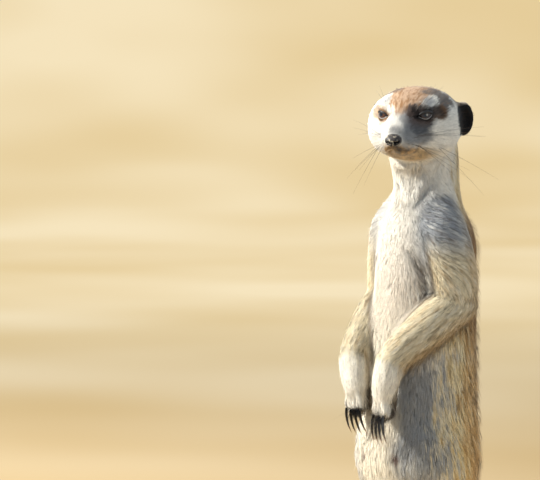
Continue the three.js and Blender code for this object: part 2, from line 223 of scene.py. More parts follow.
def bell(across, middle, wide, along, level, high):
    """A soft hump of height 1 over two measures, from its middle and half size in each."""
    return np.exp(-(((across - middle) / wide) ** 2) - ((along - level) / high) ** 2)


def near_line(points, line):
    """Distance of each point to a polyline, and how far along the line its nearest place is, 0 to 1."""
    line = np.asarray(line, float)
    lengths = np.linalg.norm(np.diff(line, axis=0), axis=1)
    starts = np.concatenate(([0.0], np.cumsum(lengths)))
    best = np.full(len(points), 1e9)
    along = np.zeros(len(points))
    for i, length in enumerate(lengths):
        span = line[i + 1] - line[i]
        t = np.clip((points - line[i]) @ span / (length * length), 0.0, 1.0)
        gap = np.linalg.norm(points - (line[i] + t[:, None] * span), axis=1)
        closer = gap < best
        best = np.where(closer, gap, best)
        along = np.where(closer, (starts[i] + t * length) / starts[-1], along)
    return best, along


def mesh_object(name, points, faces, material):
    """A new object from rows of points and a list or array of faces."""
    mesh = bpy.data.meshes.new(name)
    faces = np.asarray(faces)
    corners = faces.shape[1]
    mesh.vertices.add(len(points))
    mesh.vertices.foreach_set("co", np.ascontiguousarray(points, dtype=np.float32).ravel())
    mesh.loops.add(faces.size)
    mesh.loops.foreach_set("vertex_index", faces.astype(np.int32).ravel())
    mesh.polygons.add(len(faces))
    mesh.polygons.foreach_set("loop_start", np.arange(0, faces.size, corners, dtype=np.int32))
    mesh.polygons.foreach_set("loop_total", np.full(len(faces), corners, dtype=np.int32))
    mesh.polygons.foreach_set("use_smooth", np.ones(len(faces), dtype=bool))
    mesh.update(calc_edges=True)
    mesh.materials.append(material)
    piece = bpy.data.objects.new(name, mesh)
    bpy.context.scene.collection.objects.link(piece)
    return piece


def settle(piece, slot, *nodes):
    """The piece rides on the one body and stands for the nodes; its slot is not used."""
    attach(piece, "root")
    if nodes:
        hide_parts(*nodes)


def paint(mesh, colours):
    """A colour for each point of the mesh."""
    layer = mesh.color_attributes.new(COLOUR_MAP, "FLOAT_COLOR", "POINT")
    solid = np.ones((len(colours), 4), dtype=np.float32)
    solid[:, :3] = colours
    layer.data.foreach_set("color", solid.ravel())


def vectors_of(items, field, width=3):
    """A field of a mesh's points, edges or triangles as rows."""
    values = np.empty(len(items) * width)
    items.foreach_get(field, values)
    return values.reshape(-1, width)


def node_points(name):
    """The corners of a solid, in metres, without doubles."""
    return np.unique(np.round(vectors_of(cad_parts[name].data.vertices, "co"), 6), axis=0)


def node_centre(name):
    """The middle of a solid's box, in metres."""
    low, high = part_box(name)
    return np.array((low + high) / 2)


def chosen(kind):
    """The settings of one kind, as the sidebar holds them."""
    return getattr(bpy.context.scene, f"meerkat_{kind}")


# -------- the head's own axes


def head_axes():
    """Origin at the nose tip and rows side, back and up, worked out from the eyes and the nose pad."""
    left, right, nose = (node_centre(n) for n in ("eye_left", "eye_right", "nose"))
    side = unit(left - right)
    slope = unit((left + right) / 2 - nose)
    over = np.cross(side, slope)
    angle = math.atan2(EYE_UP - NOSE_UP, EYE_BACK - NOSE_BACK)
    back = math.cos(angle) * slope - math.sin(angle) * over
    up = math.cos(angle) * over + math.sin(angle) * slope
    origin = (left + right) / 2 - (EYE_BACK * back + EYE_UP * up) * MM
    return origin, np.array([side, back, up])


HEAD_ORIGIN, HEAD_AXES = head_axes()


def to_head(points):
    """World metres to the head's side, back and up in millimetres."""
    return (points - HEAD_ORIGIN) @ HEAD_AXES.T / MM


def from_head(places):
    """The head's side, back and up in millimetres to world metres."""
    return HEAD_ORIGIN + np.asarray(places) * MM @ HEAD_AXES


EYE_SIDE = float(np.linalg.norm(node_centre("eye_left") - node_centre("eye_right")) / 2 / MM)


def eye_frame(sign):
    """Centre and directions level, over and gaze of an eye, in head places. Level runs towards the ear."""
    centre = np.array((sign * EYE_SIDE, EYE_BACK, EYE_UP))
    gaze = unit(np.array(GAZE) * (sign, 1, 1))
    level = unit(np.cross((0.0, 0.0, 1.0), gaze) * sign)
    over = np.cross(gaze, level) * sign
    tilt = math.radians(OPENING_TILT)
    tilted = math.cos(tilt) * level + math.sin(tilt) * over
    return centre, tilted, math.cos(tilt) * over - math.sin(tilt) * level, gaze


def outside_nose(places):
    """Distance from the middle of the nose pad, as a share of its own half size."""
    return np.linalg.norm((places - PAD_MIDDLE) / np.array(NOSE_HALF), axis=1)


# -------- materials


def add_node(tree, kind, inputs=None, **fields):
    """Adds a node, sets its fields, and feeds its sockets from values or (node, output) pairs."""
    node = tree.nodes.new(kind)
    for field, value in fields.items():
        setattr(node, field, value)
    for socket, value in (inputs or {}).items():
        if isinstance(value, tuple) and isinstance(value[0], bpy.types.Node):
            tree.links.new(value[0].outputs[value[1]], node.inputs[socket])
        else:
            node.inputs[socket].default_value = value
    return node


def new_material(name):
    """A material with an empty node tree."""
    material = bpy.data.materials.new(name)
    material.use_nodes = True
    material.node_tree.nodes.clear()
    return material, material.node_tree


def finish_material(tree, shader_inputs):
    """Closes the tree with its shader and output."""
    shader = add_node(tree, "ShaderNodeBsdfPrincipled", shader_inputs)
    add_node(tree, "ShaderNodeOutputMaterial", {"Surface": (shader, "BSDF")})


def per_mm(size_mm):
    """Texture scale for a pattern of this size on coordinates in metres."""
    return 1.0 / (size_mm * MM)


def varied_colours(tree, pattern, low, high):
    """The painted colours varied by a pattern, and by how much."""
    colour = add_node(tree, "ShaderNodeAttribute", attribute_name=COLOUR_MAP)
    shade = add_node(tree, "ShaderNodeMapRange", {"Value": pattern, "To Min": low, "To Max": high})
    tone = add_node(
        tree, "ShaderNodeVectorMath", {0: (colour, "Color"), "Scale": (shade, "Result")}, operation="SCALE"
    )
    return tone, shade


def hair_material():
    """Guard hair: grown keratin, air-dry. It scatters light softly with a faint sheen along its edge."""
    material, tree = new_material("Guard hair, dry keratin")
    place = add_node(tree, "ShaderNodeTexCoord")
    # Real strands are 0.05 mm apart, too fine to show, so the variation is drawn at 0.9 mm.
    strands = add_node(
        tree, "ShaderNodeTexNoise", {"Vector": (place, "Object"), "Scale": per_mm(0.9), "Detail": 2.0}
    )
    tone, _ = varied_colours(tree, (strands, "Fac"), 0.86, 1.14)
    finish_material(tree, {
        "Base Color": (tone, "Vector"), "Roughness": 0.72, "Specular IOR Level": 0.25,
        "Sheen Weight": 0.12, "Sheen Roughness": 0.5,
    })
    return material


def hide_material():
    """Living skin under close hair: matt and finely grained, with the coat's colours on it."""
    material, tree = new_material("Haired hide, matt")
    place = add_node(tree, "ShaderNodeTexCoord")
    # Hair roots stand about 0.4 mm apart, and are drawn at 0.8 mm so that they show.
    roots = add_node(
        tree, "ShaderNodeTexNoise", {"Vector": (place, "Object"), "Scale": per_mm(0.8), "Detail": 3.0}
    )
    tone, _ = varied_colours(tree, (roots, "Fac"), 0.7, 1.2)
    relief = add_node(
        tree, "ShaderNodeBump", {"Height": (roots, "Fac"), "Strength": 0.5, "Distance": 0.3 * MM}
    )
    finish_material(tree, {
        "Base Color": (tone, "Vector"), "Normal": (relief, "Normal"), "Roughness": 0.8,
        "Specular IOR Level": 0.25,
    })
    return material


IRIS_RADIUS = 3.7
PUPIL_HALF = (1.55, 1.2)
# Brightness of the iris from its middle to its dark rim: place as a share of its radius, and strength.
IRIS_STOPS = ((0.0, 0.5), (0.45, 0.75), (0.72, 1.0), (0.9, 0.35), (0.99, 0.05))


def eye_material(iris):
    """Living cornea over a pigmented iris: wet, clear and mirror-smooth, so it holds a sharp highlight."""
    material, tree = new_material("Cornea over iris, wet")
    place = add_node(tree, "ShaderNodeTexCoord")
    axes = add_node(tree, "ShaderNodeSeparateXYZ", {"Vector": (place, "Object")})

    def distance(wide, high):
        """Distance from the middle of the cornea, as a share of these half sizes in mm."""
        across = add_node(tree, "ShaderNodeMath", {0: (axes, "X"), 1: wide * MM}, operation="DIVIDE")
        over = add_node(tree, "ShaderNodeMath", {0: (axes, "Y"), 1: high * MM}, operation="DIVIDE")
        pair = add_node(tree, "ShaderNodeCombineXYZ", {"X": (across, "Value"), "Y": (over, "Value")})
        return add_node(tree, "ShaderNodeVectorMath", {0: (pair, "Vector")}, operation="LENGTH")

    # Fibres of the iris are about 0.25 mm across, and are drawn at 0.5 mm so that they show.
    fibres = add_node(
        tree, "ShaderNodeTexNoise", {"Vector": (place, "Object"), "Scale": per_mm(0.5), "Detail": 4.0}
    )
    ring = add_node(
        tree, "ShaderNodeValToRGB", {"Fac": (distance(IRIS_RADIUS, IRIS_RADIUS), "Value")}
    )
    ramp = ring.color_ramp
    while len(ramp.elements) < len(IRIS_STOPS):
        ramp.elements.new(0.5)
    for element, (at, strength) in zip(ramp.elements, IRIS_STOPS):
        element.position = at
        element.color = (*[c * strength for c in iris], 1.0)
    fibre_shade = add_node(
        tree, "ShaderNodeMapRange", {"Value": (fibres, "Fac"), "To Min": 0.65, "To Max": 1.3}
    )
    fibred = add_node(
        tree, "ShaderNodeVectorMath", {0: (ring, "Color"), "Scale": (fibre_shade, "Result")},
        operation="SCALE",
    )
    pupil = add_node(
        tree, "ShaderNodeMapRange",
        {"Value": (distance(*PUPIL_HALF), "Value"), "From Min": 0.9, "From Max": 1.05},
    )
    seen = add_node(
        tree, "ShaderNodeVectorMath", {0: (fibred, "Vector"), "Scale": (pupil, "Result")}, operation="SCALE"
    )
    finish_material(tree, {
        "Base Color": (seen, "Vector"), "Roughness": 0.25, "Coat Weight": 0.7, "Coat Roughness": 0.02,
        "IOR": 1.38,
    })
    return material


MOIST = 0.3


def lid_material(name, code, wet=MOIST):
    """Bare lid margin: moist smooth skin with a soft wet line of light. The drier, the rougher."""
    material, tree = new_material(name)
    place = add_node(tree, "ShaderNodeTexCoord")
    # Creases of the lids stand about 0.6 mm apart.
    folds = add_node(
        tree, "ShaderNodeTexNoise", {"Vector": (place, "Object"), "Scale": per_mm(0.6), "Detail": 2.0}
    )
    tone = add_node(tree, "ShaderNodeValToRGB", {"Fac": (folds, "Fac")})
    tone.color_ramp.elements[0].color = (*[c * 0.6 for c in srgb(code)], 1.0)
    tone.color_ramp.elements[1].color = (*[min(1.0, c * 1.4) for c in srgb(code)], 1.0)
    relief = add_node(
        tree, "ShaderNodeBump", {"Height": (folds, "Fac"), "Strength": 0.4, "Distance": 0.1 * MM}
    )
    finish_material(tree, {
        "Base Color": (tone, "Color"), "Normal": (relief, "Normal"),
        "Roughness": 0.38 + 0.3 * (MOIST - wet), "Coat Weight": wet, "Coat Roughness": 0.15,
    })
    return material


def nose_material():
    """Nose leather: moist hairless skin, pebbled like fine leather, with small broken highlights."""
    material, tree = new_material("Nose leather, moist")
    place = add_node(tree, "ShaderNodeTexCoord")
    # Pebbles on a small carnivore's nose are about 0.4 mm across, and are drawn at 0.6 mm so that they
    # show. Dust lies over them in patches of 1.6 mm.
    pebbles = add_node(tree, "ShaderNodeTexVoronoi", {"Vector": (place, "Object"), "Scale": per_mm(0.6)})
    dust = add_node(
        tree, "ShaderNodeTexNoise", {"Vector": (place, "Object"), "Scale": per_mm(1.6), "Detail": 2.0}
    )
    dusty = add_node(
        tree, "ShaderNodeMapRange",
        {"Value": (dust, "Fac"), "From Min": 0.55, "From Max": 0.64, "To Max": 0.8},
    )
    tone, shade = varied_colours(tree, (pebbles, "Distance"), 1.15, 0.55)
    seen = add_node(
        tree, "ShaderNodeMix",
        {0: (dusty, "Result"), 6: (tone, "Vector"), 7: (*srgb("#b8ad97"), 1.0)}, data_type="RGBA",
    )
    relief = add_node(
        tree, "ShaderNodeBump", {"Height": (shade, "Result"), "Strength": 0.8, "Distance": 0.2 * MM}
    )
    finish_material(tree, {
        "Base Color": (seen, 2), "Normal": (relief, "Normal"), "Roughness": 0.62, "Coat Weight": 0.08,
        "Coat Roughness": 0.25,
    })
    return material


def horn_material():
    """Claw horn: grown keratin, worn smooth by digging. Dark and glossy, with fine growth lines."""
    material, tree = new_material("Claw horn, worn")
    place = add_node(tree, "ShaderNodeTexCoord")
    # Growth lines stand about 0.5 mm apart and run down the claw.
    stretch = add_node(
        tree, "ShaderNodeMapping",
        {"Vector": (place, "Object"), "Scale": (per_mm(0.5), per_mm(3), per_mm(6))},
    )
    lines = add_node(
        tree, "ShaderNodeTexNoise", {"Vector": (stretch, "Vector"), "Scale": 1.0, "Detail": 3.0}
    )
    tone, _ = varied_colours(tree, (lines, "Fac"), 0.7, 1.35)
    relief = add_node(
        tree, "ShaderNodeBump", {"Height": (lines, "Fac"), "Strength": 0.3, "Distance": 0.08 * MM}
    )
    finish_material(tree, {
        "Base Color": (tone, "Vector"), "Normal": (relief, "Normal"), "Roughness": 0.3, "IOR": 1.54,
    })
    return material


def whisker_material():
    """Whisker: thick stiff keratin, smooth and slightly glossy, paler towards its tip."""
    material, tree = new_material("Whisker keratin, smooth")
    colour = add_node(tree, "ShaderNodeAttribute", attribute_name=COLOUR_MAP)
    finish_material(tree, {"Base Color": (colour, "Color"), "Roughness": 0.4, "IOR": 1.54})
    return material


# -------- the coat by part


# For each part of the body: how deep the skin lies under the solid, the length and width of a tuft
# (all mm), how many tufts grow on a square millimetre, the share of dark ticking hairs, and how much
# the tufts' lift off the skin varies.
PART_COAT = {
    "head": (1.0, 2.3, 0.25, 6.4, 0.005, 0.2),
    "ear": (0.35, 1.4, 0.24, 6.0, 0.0, 0.4),
    "neck": (2.0, 4.2, 0.22, 4.8, 0.005, 0.1),
    "chest": (2.4, 5.2, 0.23, 4.1, 0.006, 0.12),
    "belly": (2.6, 7.4, 0.34, 2.6, 0.012, 0.5),
    "upper_arm": (1.8, 4.6, 0.23, 4.0, 0.03, 0.3),
    "forearm": (1.5, 4.4, 0.26, 3.9, 0.02, 0.4),
    "hand": (0.35, 2.9, 0.24, 5.2, 0.01, 0.5),
    "thigh": (2.3, 6.8, 0.36, 2.3, 0.03, 0.5),
    "shank": (1.5, 4.6, 0.32, 2.8, 0.02, 0.4),
    "foot": (0.8, 2.3, 0.28, 3.4, 0.01, 0.3),
    "tail": (1.7, 5.0, 0.34, 2.5, 0.08, 0.5),
}
COAT_COLUMNS = ("depth", "length", "width", "crowd", "ticking", "shag")
BLEND = 14  # rounds that spread one part's markings into the next


def coat_row(part):
    """The row of PART_COAT that a part takes."""
    for key, row in PART_COAT.items():
        if part.startswith(key):
            return row
    raise KeyError(part)


def numbers_of(*keys):
    """Numbers in FLESH of the parts whose names start with the keys."""
    return [number for number, part in enumerate(FLESH) if part.startswith(keys)]


def solid_axes(name):
    """The middle of a solid's corners, and its axes from the longest to the shortest."""
    points = node_points(name)
    middle = points.mean(axis=0)
    return middle, np.linalg.svd(points - middle, full_matrices=False)[2]


def lie_of_parts():
    """The direction that hair lies in on each part, away from the head or down the limb."""
    lie = {part: DOWN for part in FLESH}
    chains = [[f"{part}_{side}" for part in limb] for limb in LIMBS for side in SIDES] + [list(TAIL)]
    for chain in chains:
        centres = [node_centre(part) for part in chain]
        for i, part in enumerate(chain):
            ahead = centres[i + 1] - centres[i] if i + 1 < len(chain) else centres[i] - centres[i - 1]
            axis = solid_axes(part)[1][0]
            lie[part] = axis * np.sign(axis @ ahead)
    return lie


# -------- skin


class SkinNet:
    """The skin's points and edges, with the smoothing that runs over them."""

    def __init__(self, mesh):
        self.points = vectors_of(mesh.vertices, "co")
        edges = vectors_of(mesh.edges, "vertices", 2).astype(np.int64)
        self.a, self.b = edges.T
        self.count = np.maximum(np.bincount(edges.ravel(), minlength=len(self.points)), 1)[:, None]
        mesh.calc_loop_triangles()
        self.triangles = vectors_of(mesh.loop_triangles, "vertices", 3).astype(np.int64)

    def around(self, values):
        """The mean of each point's neighbours."""
        total = np.empty_like(values)
        for k in range(values.shape[1]):
            column = values[:, k]
            total[:, k] = np.bincount(self.a, column[self.b], len(column))
            total[:, k] += np.bincount(self.b, column[self.a], len(column))
        return total / self.count

    def spread(self, values, rounds):
        """Values blurred over the skin."""
        for _ in range(rounds):
            values = 0.4 * values + 0.6 * self.around(values)
        return values

    def relax(self, rounds, share):
        """Smooths facets away without shrinking; share is how much each point gives, 0 to 1."""
        for _ in range(rounds):
            for pull in (0.55, -0.57):  # in, and then out again by a little more
                self.points += pull * share * (self.around(self.points) - self.points)

    def melt(self, rounds, share):
        """Rounds away broad facets; share is how much each point gives, 0 to 1."""
        for _ in range(rounds):
            self.points += 0.6 * share * (self.around(self.points) - self.points)

    def normals(self):
        """The skin's normals, weighted by the area of the triangles."""
        p0, p1, p2 = (self.points[self.triangles[:, k]] for k in range(3))
        faces = np.cross(p1 - p0, p2 - p0)
        total = np.zeros_like(self.points)
        for k in range(3):
            for axis in range(3):
                total[:, axis] += np.bincount(self.triangles[:, k], faces[:, axis], len(total))
        return unit(total)


def joined_solids(parts, overlap):
    """The solids of the given nodes as one mesh of overlapping shells."""
    joined = bmesh.new()
    for part in parts:
        shell = bmesh.new()
        shell.from_mesh(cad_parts[part].data)
        bmesh.ops.remove_doubles(shell, verts=shell.verts, dist=1e-6)
        shell.normal_update()
        for vertex in shell.verts:
            vertex.co += vertex.normal * overlap
        lent = bpy.data.meshes.new("shell")
        shell.to_mesh(lent)
        shell.free()
        joined.from_mesh(lent)
        bpy.data.meshes.remove(lent)
    mesh = bpy.data.meshes.new("solids")
    joined.to_mesh(mesh)
    joined.free()
    return mesh


def modified(mesh, kind, **fields):
    """The mesh that a modifier makes of this one."""
    lump = bpy.data.objects.new("lump", mesh)
    bpy.context.scene.collection.objects.link(lump)
    modifier = lump.modifiers.new("shape", kind)
    for field, value in fields.items():
        setattr(modifier, field, value)
    graph = bpy.context.evaluated_depsgraph_get()
    result = bpy.data.meshes.new_from_object(lump.evaluated_get(graph))
    bpy.data.objects.remove(lump)
    return result


def refine(mesh, inside):
    """Halves the edges of the faces whose corners all lie where inside() says."""
    wanted = inside(to_head(vectors_of(mesh.vertices, "co")))
    net = bmesh.new()
    net.from_mesh(mesh)
    net.verts.ensure_lookup_table()
    edges = {e for f in net.faces if all(wanted[v.index] for v in f.verts) for e in f.edges}
    bmesh.ops.subdivide_edges(net, edges=list(edges), cuts=1, use_grid_fill=True)
    net.to_mesh(mesh)
    net.free()


def nearest_part(points):
    """The number in FLESH of the solid that each point lies nearest to."""
    corners, faces, owners = [], [], []
    for number, part in enumerate(FLESH):
        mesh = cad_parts[part].data
        mesh.calc_loop_triangles()
        first = len(corners)
        corners.extend(vectors_of(mesh.vertices, "co").tolist())
        for triangle in mesh.loop_triangles:
            faces.append([first + v for v in triangle.vertices])
            owners.append(number)
    tree = BVHTree.FromPolygons(corners, faces)
    return np.array([owners[tree.find_nearest(p)[2]] for p in points.tolist()])


def opening_distance(places, sign):
    """How far outside the eye's opening each place lies in mm, its distance from the eye's middle in mm,
    its angle from the gaze in degrees, and its ray from the middle."""
    centre, level, over, gaze = eye_frame(sign)
    ray = places - centre
    reach = np.linalg.norm(ray, axis=1)
    aim = ray / np.maximum(reach, 1e-9)[:, None]
    ahead = aim @ gaze
    across = np.degrees(np.arctan2(aim @ level, np.maximum(ahead, 1e-3)))
    height = np.degrees(np.arctan2(aim @ over, np.maximum(ahead, 1e-3)))
    tall = np.where(height > 0, OPENING_OVER, OPENING_UNDER)
    field = np.abs(across / OPENING_WIDE) ** OPENING_CURVE + np.abs(height) / tall - 1.0
    gap = field * np.radians(tall) * EYE_RADIUS
    return gap, reach, np.degrees(np.arccos(np.clip(ahead, -1, 1))), ray


def sculpt_lids(places):
    """Raises a lid over each eyeball and opens it along the almond of the lid margins."""
    for sign in (1, -1):
        gap, reach, angle, ray = opening_distance(places, sign)
        near = (reach < EYE_RADIUS + 5.0) & (angle < 88.0)
        lid = EYE_RADIUS + 0.5
        sunk = EYE_RADIUS - 0.9
        target = mix(sunk, lid, step(-0.35, 0.15, gap))
        outside = np.maximum(reach, target)
        aim = np.where(gap < 0.15, target, outside)
        share = (1.0 - step(62.0, 86.0, angle)) * near
        places += ray / np.maximum(reach, 1e-9)[:, None] * ((aim - reach) * share)[:, None]
    return places


MOUTH = ((0.0, 3.4, -5.4), (3.2, 5.2, -6.9), (6.4, 10.5, -8.6), (8.8, 17.0, -9.6), (10.8, 24.5, -9.2))

# Small forms of the face: centre, radii and height in mm, on both sides of the head.
FACE_FORMS = (
    ((10.5, 28.0, 15.2), (5.5, 6.0, 3.2), 0.9),  # brow
    ((7.6, 21.0, 7.4), (3.4, 4.5, 3.4), -0.7),  # hollow before the eye
    ((6.6, 9.5, -4.6), (3.4, 5.0, 3.6), 0.8),  # whisker pad
    ((11.8, 30.0, 0.6), (4.6, 5.5, 3.0), -0.5),  # under the eye
    ((20.0, 44.0, -7.0), (8.0, 10.0, 8.0), 0.7),  # cheek
    ((0.0, 9.0, -9.2), (4.0, 4.5, 2.6), 0.6),  # chin
    ((24.0, 57.0, 2.4), (5.0, 6.0, 5.4), -1.6),  # hollow of the ear
    ((25.0, 50.5, 1.0), (5.0, 1.8, 5.0), 0.7),  # rim before the ear
)


def sculpt_face(places, normals):
    """The soft forms of the face and the mouth line, as lifts along the skin's own normals."""
    lift = np.zeros(len(places))
    folded = places.copy()
    folded[:, 0] = np.abs(folded[:, 0])
    for centre, radii, height in FACE_FORMS:
        lift += height * bump(folded, centre, np.array(radii) * 1.4)
    gap, along = near_line(folded, MOUTH)
    lift -= 0.85 * np.exp(-((gap / 0.55) ** 2)) * (1.0 - step(0.9, 1.0, along))
    lift += 0.35 * np.exp(-(((gap - 1.3) / 0.7) ** 2))
    lift -= 1.2 * (1.0 - step(0.85, 1.1, outside_nose(folded)))
    return places + normals * lift[:, None]


TRUNK_RADIUS = 22.0  # its mean radius in mm, which turns angles into lengths

# Folds of the neck and trunk: a line in angle round the trunk (degrees, from its front to its left)
# and height (mm), with the fold's half width and height in mm.
TRUNK_FOLDS = (
    (((80.0, 268.0), (57.0, 251.0), (33.0, 240.0)), 1.5, -0.9),
    (((66.0, 268.0), (46.0, 254.0), (28.0, 243.0)), 1.8, 0.8),
    (((-22.0, 264.0), (3.0, 250.0), (24.0, 240.0)), 2.2, 1.0),
    (((-4.0, 250.0), (2.0, 244.0), (-2.0, 237.0)), 2.4, -2.4),
    (((31.0, 264.0), (27.0, 247.0)), 1.0, -0.6),
    (((26.0, 216.0), (37.0, 207.0)), 1.5, -1.0),
    (((41.0, 205.0), (47.5, 198.0), (50.0, 190.0)), 1.8, -2.2),
    (((-70.0, 250.0), (-52.0, 240.0), (-34.0, 236.0)), 3.0, -1.2),
    (((2.0, 222.0), (4.0, 196.0)), 2.5, -0.5),
)

# Soft forms of the neck and shoulders: angle and height of the middle, half sizes in both, and lift in mm.
TRUNK_FORMS = (
    (-45.0, 249.0, 36.0, 8.0, -2.2),
    (-42.0, 241.0, 22.0, 6.0, -2.4),
    (56.0, 240.0, 20.0, 9.0, -1.6),
    (0.0, 267.0, 62.0, 7.0, 3.2),
    (126.0, 214.0, 30.0, 16.0, 0.8),
)


def trunk_axis():
    """Where the trunk's upright axis stands, in metres."""
    return node_centre("chest")[:2] * (1, 0) + (0, node_centre("neck")[1])


def around_trunk(points):
    """Angle round the trunk in degrees, 0 at its front and positive to its left, and height in mm."""
    axis = trunk_axis()
    x, y = (points[:, 0] - axis[0]) / MM, (points[:, 1] - axis[1]) / MM
    return np.degrees(np.arctan2(x, -y)), points[:, 2] / MM


def unrolled(angle, height):
    """Places on the trunk rolled out flat, in mm."""
    return np.column_stack([np.radians(angle) * TRUNK_RADIUS, height, np.zeros(len(angle))])


def line_on_trunk(angle, height, line):
    """Distance in mm to a line of angles and heights on the trunk, and how far along it, 0 to 1."""
    return near_line(unrolled(angle, height), unrolled(*np.transpose(line)))


def sculpt_trunk(points, normals, on_trunk, with_arms):
    """Tendons, the collar hollows and the midline of throat and breast."""
    angle, height = around_trunk(points)
    lift = np.zeros(len(points))
    for line, half, tall in TRUNK_FOLDS:
        gap, along = line_on_trunk(angle, height, line)
        fade = step(0.0, 0.15, along) * (1.0 - step(0.85, 1.0, along)) if tall > 0 else 1.0
        lift += tall * np.exp(-((gap / half) ** 2)) * fade
    lift = lift * on_trunk
    for middle, level, wide, high, tall in TRUNK_FORMS:
        lift += with_arms * tall * bell(angle, middle, wide, height, level, high)
    return points + normals * (lift * MM)[:, None]


# How far the digits of a hand spread, as a share, and where the spread ends behind the claws' roots in mm.
DIGIT_SPREAD, SPREAD_ENDS = 0.28, (2.0, 11.0)
CLAW_SLIMMING = 0.42


def spread_at(behind):
    """How far a hand spreads at places this far behind the claws' roots, as a share."""
    return DIGIT_SPREAD * (1 - step(*SPREAD_ENDS, behind))


def digit_frames():
    """For each hand and foot: its number, its claws' roots, and the directions across and back along it."""
    frames = []
    for limb in ("hand", "foot"):
        for side in SIDES:
            middle = node_centre(f"{limb}_{side}")
            roots = []
            for digit in DIGITS:
                corners = node_points(f"claw_{limb}_{side}_{digit}")
                gaps = np.linalg.norm(corners - middle, axis=1)
                roots.append(corners[gaps < np.quantile(gaps, 0.3)].mean(axis=0))
            across = unit(roots[3] - roots[0])
            back = middle - np.mean(roots, axis=0)
            back = unit(back - (back @ across) * across)
            frames.append((FLESH.index(f"{limb}_{side}"), np.array(roots), across, back))
    return frames


def spread_digits(points, number):
    """Spreads the digits of a hand, with their claws."""
    _, roots, across, back = next(row for row in digit_frames() if row[0] == number)
    over = points - roots.mean(axis=0)
    return points + (spread_at(over @ back / MM) * (over @ across))[:, None] * across


def slimmed(points, number):
    """A claw made slimmer across the hand towards its root."""
    _, _, across, back = next(row for row in digit_frames() if row[0] == number)
    at, run = points @ across, points @ back
    slope, level = np.polyfit(run, at, 1)
    share = CLAW_SLIMMING * step(run.min(), run.max(), run)
    return points + ((slope * run + level - at) * share)[:, None] * across


def digit_places(points, parts):
    """For places on the hands and feet: how near they are to a gap between two digits and to a digit's
    middle, 1 in it, how far back from the claws' roots they are and how far on the palm's side, in mm."""
    gap, digit = np.zeros(len(points)), np.zeros(len(points))
    behind, palmar = np.full(len(points), 99.0), np.full(len(points), -99.0)
    for number, roots, across, back in digit_frames():
        here = np.nonzero(parts == number)[0]
        over = (points[here] - roots.mean(axis=0)) / MM
        behind[here] = over @ back
        palm = np.cross(across, back)
        palmar[here] = over @ (palm * np.sign(palm[1]))
        at = over @ across
        lines = (roots - roots.mean(axis=0)) @ across / MM
        if FLESH[number].startswith("hand"):
            lines = lines * (1 + spread_at(behind[here]))[:, None]
        else:
            lines = np.tile(lines, (len(here), 1))
        for place in lines.T:
            digit[here] = np.maximum(digit[here], np.exp(-(((at - place) / 0.6) ** 2)))
        for place in (lines[:, 1:] + lines[:, :-1]).T / 2:
            gap[here] = np.maximum(gap[here], np.exp(-(((at - place) / 0.55) ** 2)))
    return gap, digit, behind, palmar


GROOVE = 1.1  # depth in mm
PALM_PAD = np.array((0.0, 4.4, -0.4))  # how far the pads stand out, in mm


def sculpt_digits(points, normals, parts):
    """Grooves between the digits, and the pads that stand out on the palm."""
    gap, _, behind, palmar = digit_places(points, parts)
    groove = GROOVE * gap * (1 - step(3.0, 9.0, behind))
    hand = np.isin(parts, numbers_of("hand"))
    palm = hand * step(-1.5, 3.5, palmar) * step(-5.0, 4.0, behind) * (1 - step(7.0, 17.0, behind))
    return points - normals * (groove * MM)[:, None] + palm[:, None] * PALM_PAD * MM


def claw_nearness(points):
    """1 at the digits' ends, 0 away from the claws."""
    middles = np.array([node_centre(claw) for claw in CLAWS])
    gaps = np.array([np.linalg.norm(points - middle, axis=1) for middle in middles]).min(axis=0) / MM
    return 1.0 - step(6.5, 12.5, gaps)


def by_part(parts, values, net, rounds):
    """A value for each part spread smoothly over the skin's points."""
    table = np.array([values(part) for part in FLESH], float)
    return net.spread(table[parts].reshape(len(parts), -1), rounds)


def share_of(keys, parts, net):
    """1 on the parts whose names start with the keys, spread softly to 0 on the others."""
    return by_part(parts, lambda part: float(part.startswith(keys)), net, 8)[:, 0]


def store(mesh, name, kind, values):
    """Keeps a value for each point of the mesh."""
    layer = mesh.attributes.new(name, kind, "POINT")
    field = "vector" if kind == "FLOAT_VECTOR" else "value"
    layer.data.foreach_set(field, np.ascontiguousarray(values).ravel())


def read(mesh, name, width=1):
    """The values that store() kept."""
    field = {1: "value", 3: "vector"}[width]
    values = np.empty(len(mesh.vertices) * width)
    mesh.attributes[name].data.foreach_get(field, values)
    return values.reshape(-1, width) if width > 1 else values


def flat_on(normals, vectors):
    """Directions turned to lie flat on the skin."""
    return unit(vectors - (vectors * normals).sum(axis=1, keepdims=True) * normals)


def lie_of_hair(net, parts, normals):
    """Direction of the hair at each point of the skin, flat on it and smoothed over the joins."""
    table = lie_of_parts()
    lie = np.array([table[part] for part in FLESH])[parts]
    from_nose = unit(net.points - from_head((0.0, 2.0, 0.0)))
    head = parts == FLESH.index("head")
    lie[head] = from_nose[head]
    for side in SIDES:
        ear = parts == FLESH.index(f"ear_{side}")
        root = node_centre(f"ear_{side}") - from_head((0, 60, 0))
        lie[ear] = unit(net.points[ear] - node_centre(f"ear_{side}") + 1.5 * root)
    angle, height = around_trunk(net.points)
    shoulder = bell(np.abs(angle), 66, 34, height, 222, 26)
    shoulder *= np.isin(parts, numbers_of("neck", "chest", "upper_arm"))
    round_back = np.column_stack([
        np.cos(np.radians(angle)) * np.sign(angle), np.sin(np.radians(np.abs(angle))), np.zeros(len(angle))
    ])
    lie = unit(lie + 1.8 * shoulder[:, None] * round_back)
    for _ in range(50):
        lie = flat_on(normals, 0.4 * lie + 0.6 * net.around(lie))
    return lie


# Size of the skin's net, and how far the solids swell to join over the gaps between them.
VOXEL, OVERLAP = 1.15 * MM, 0.25 * MM
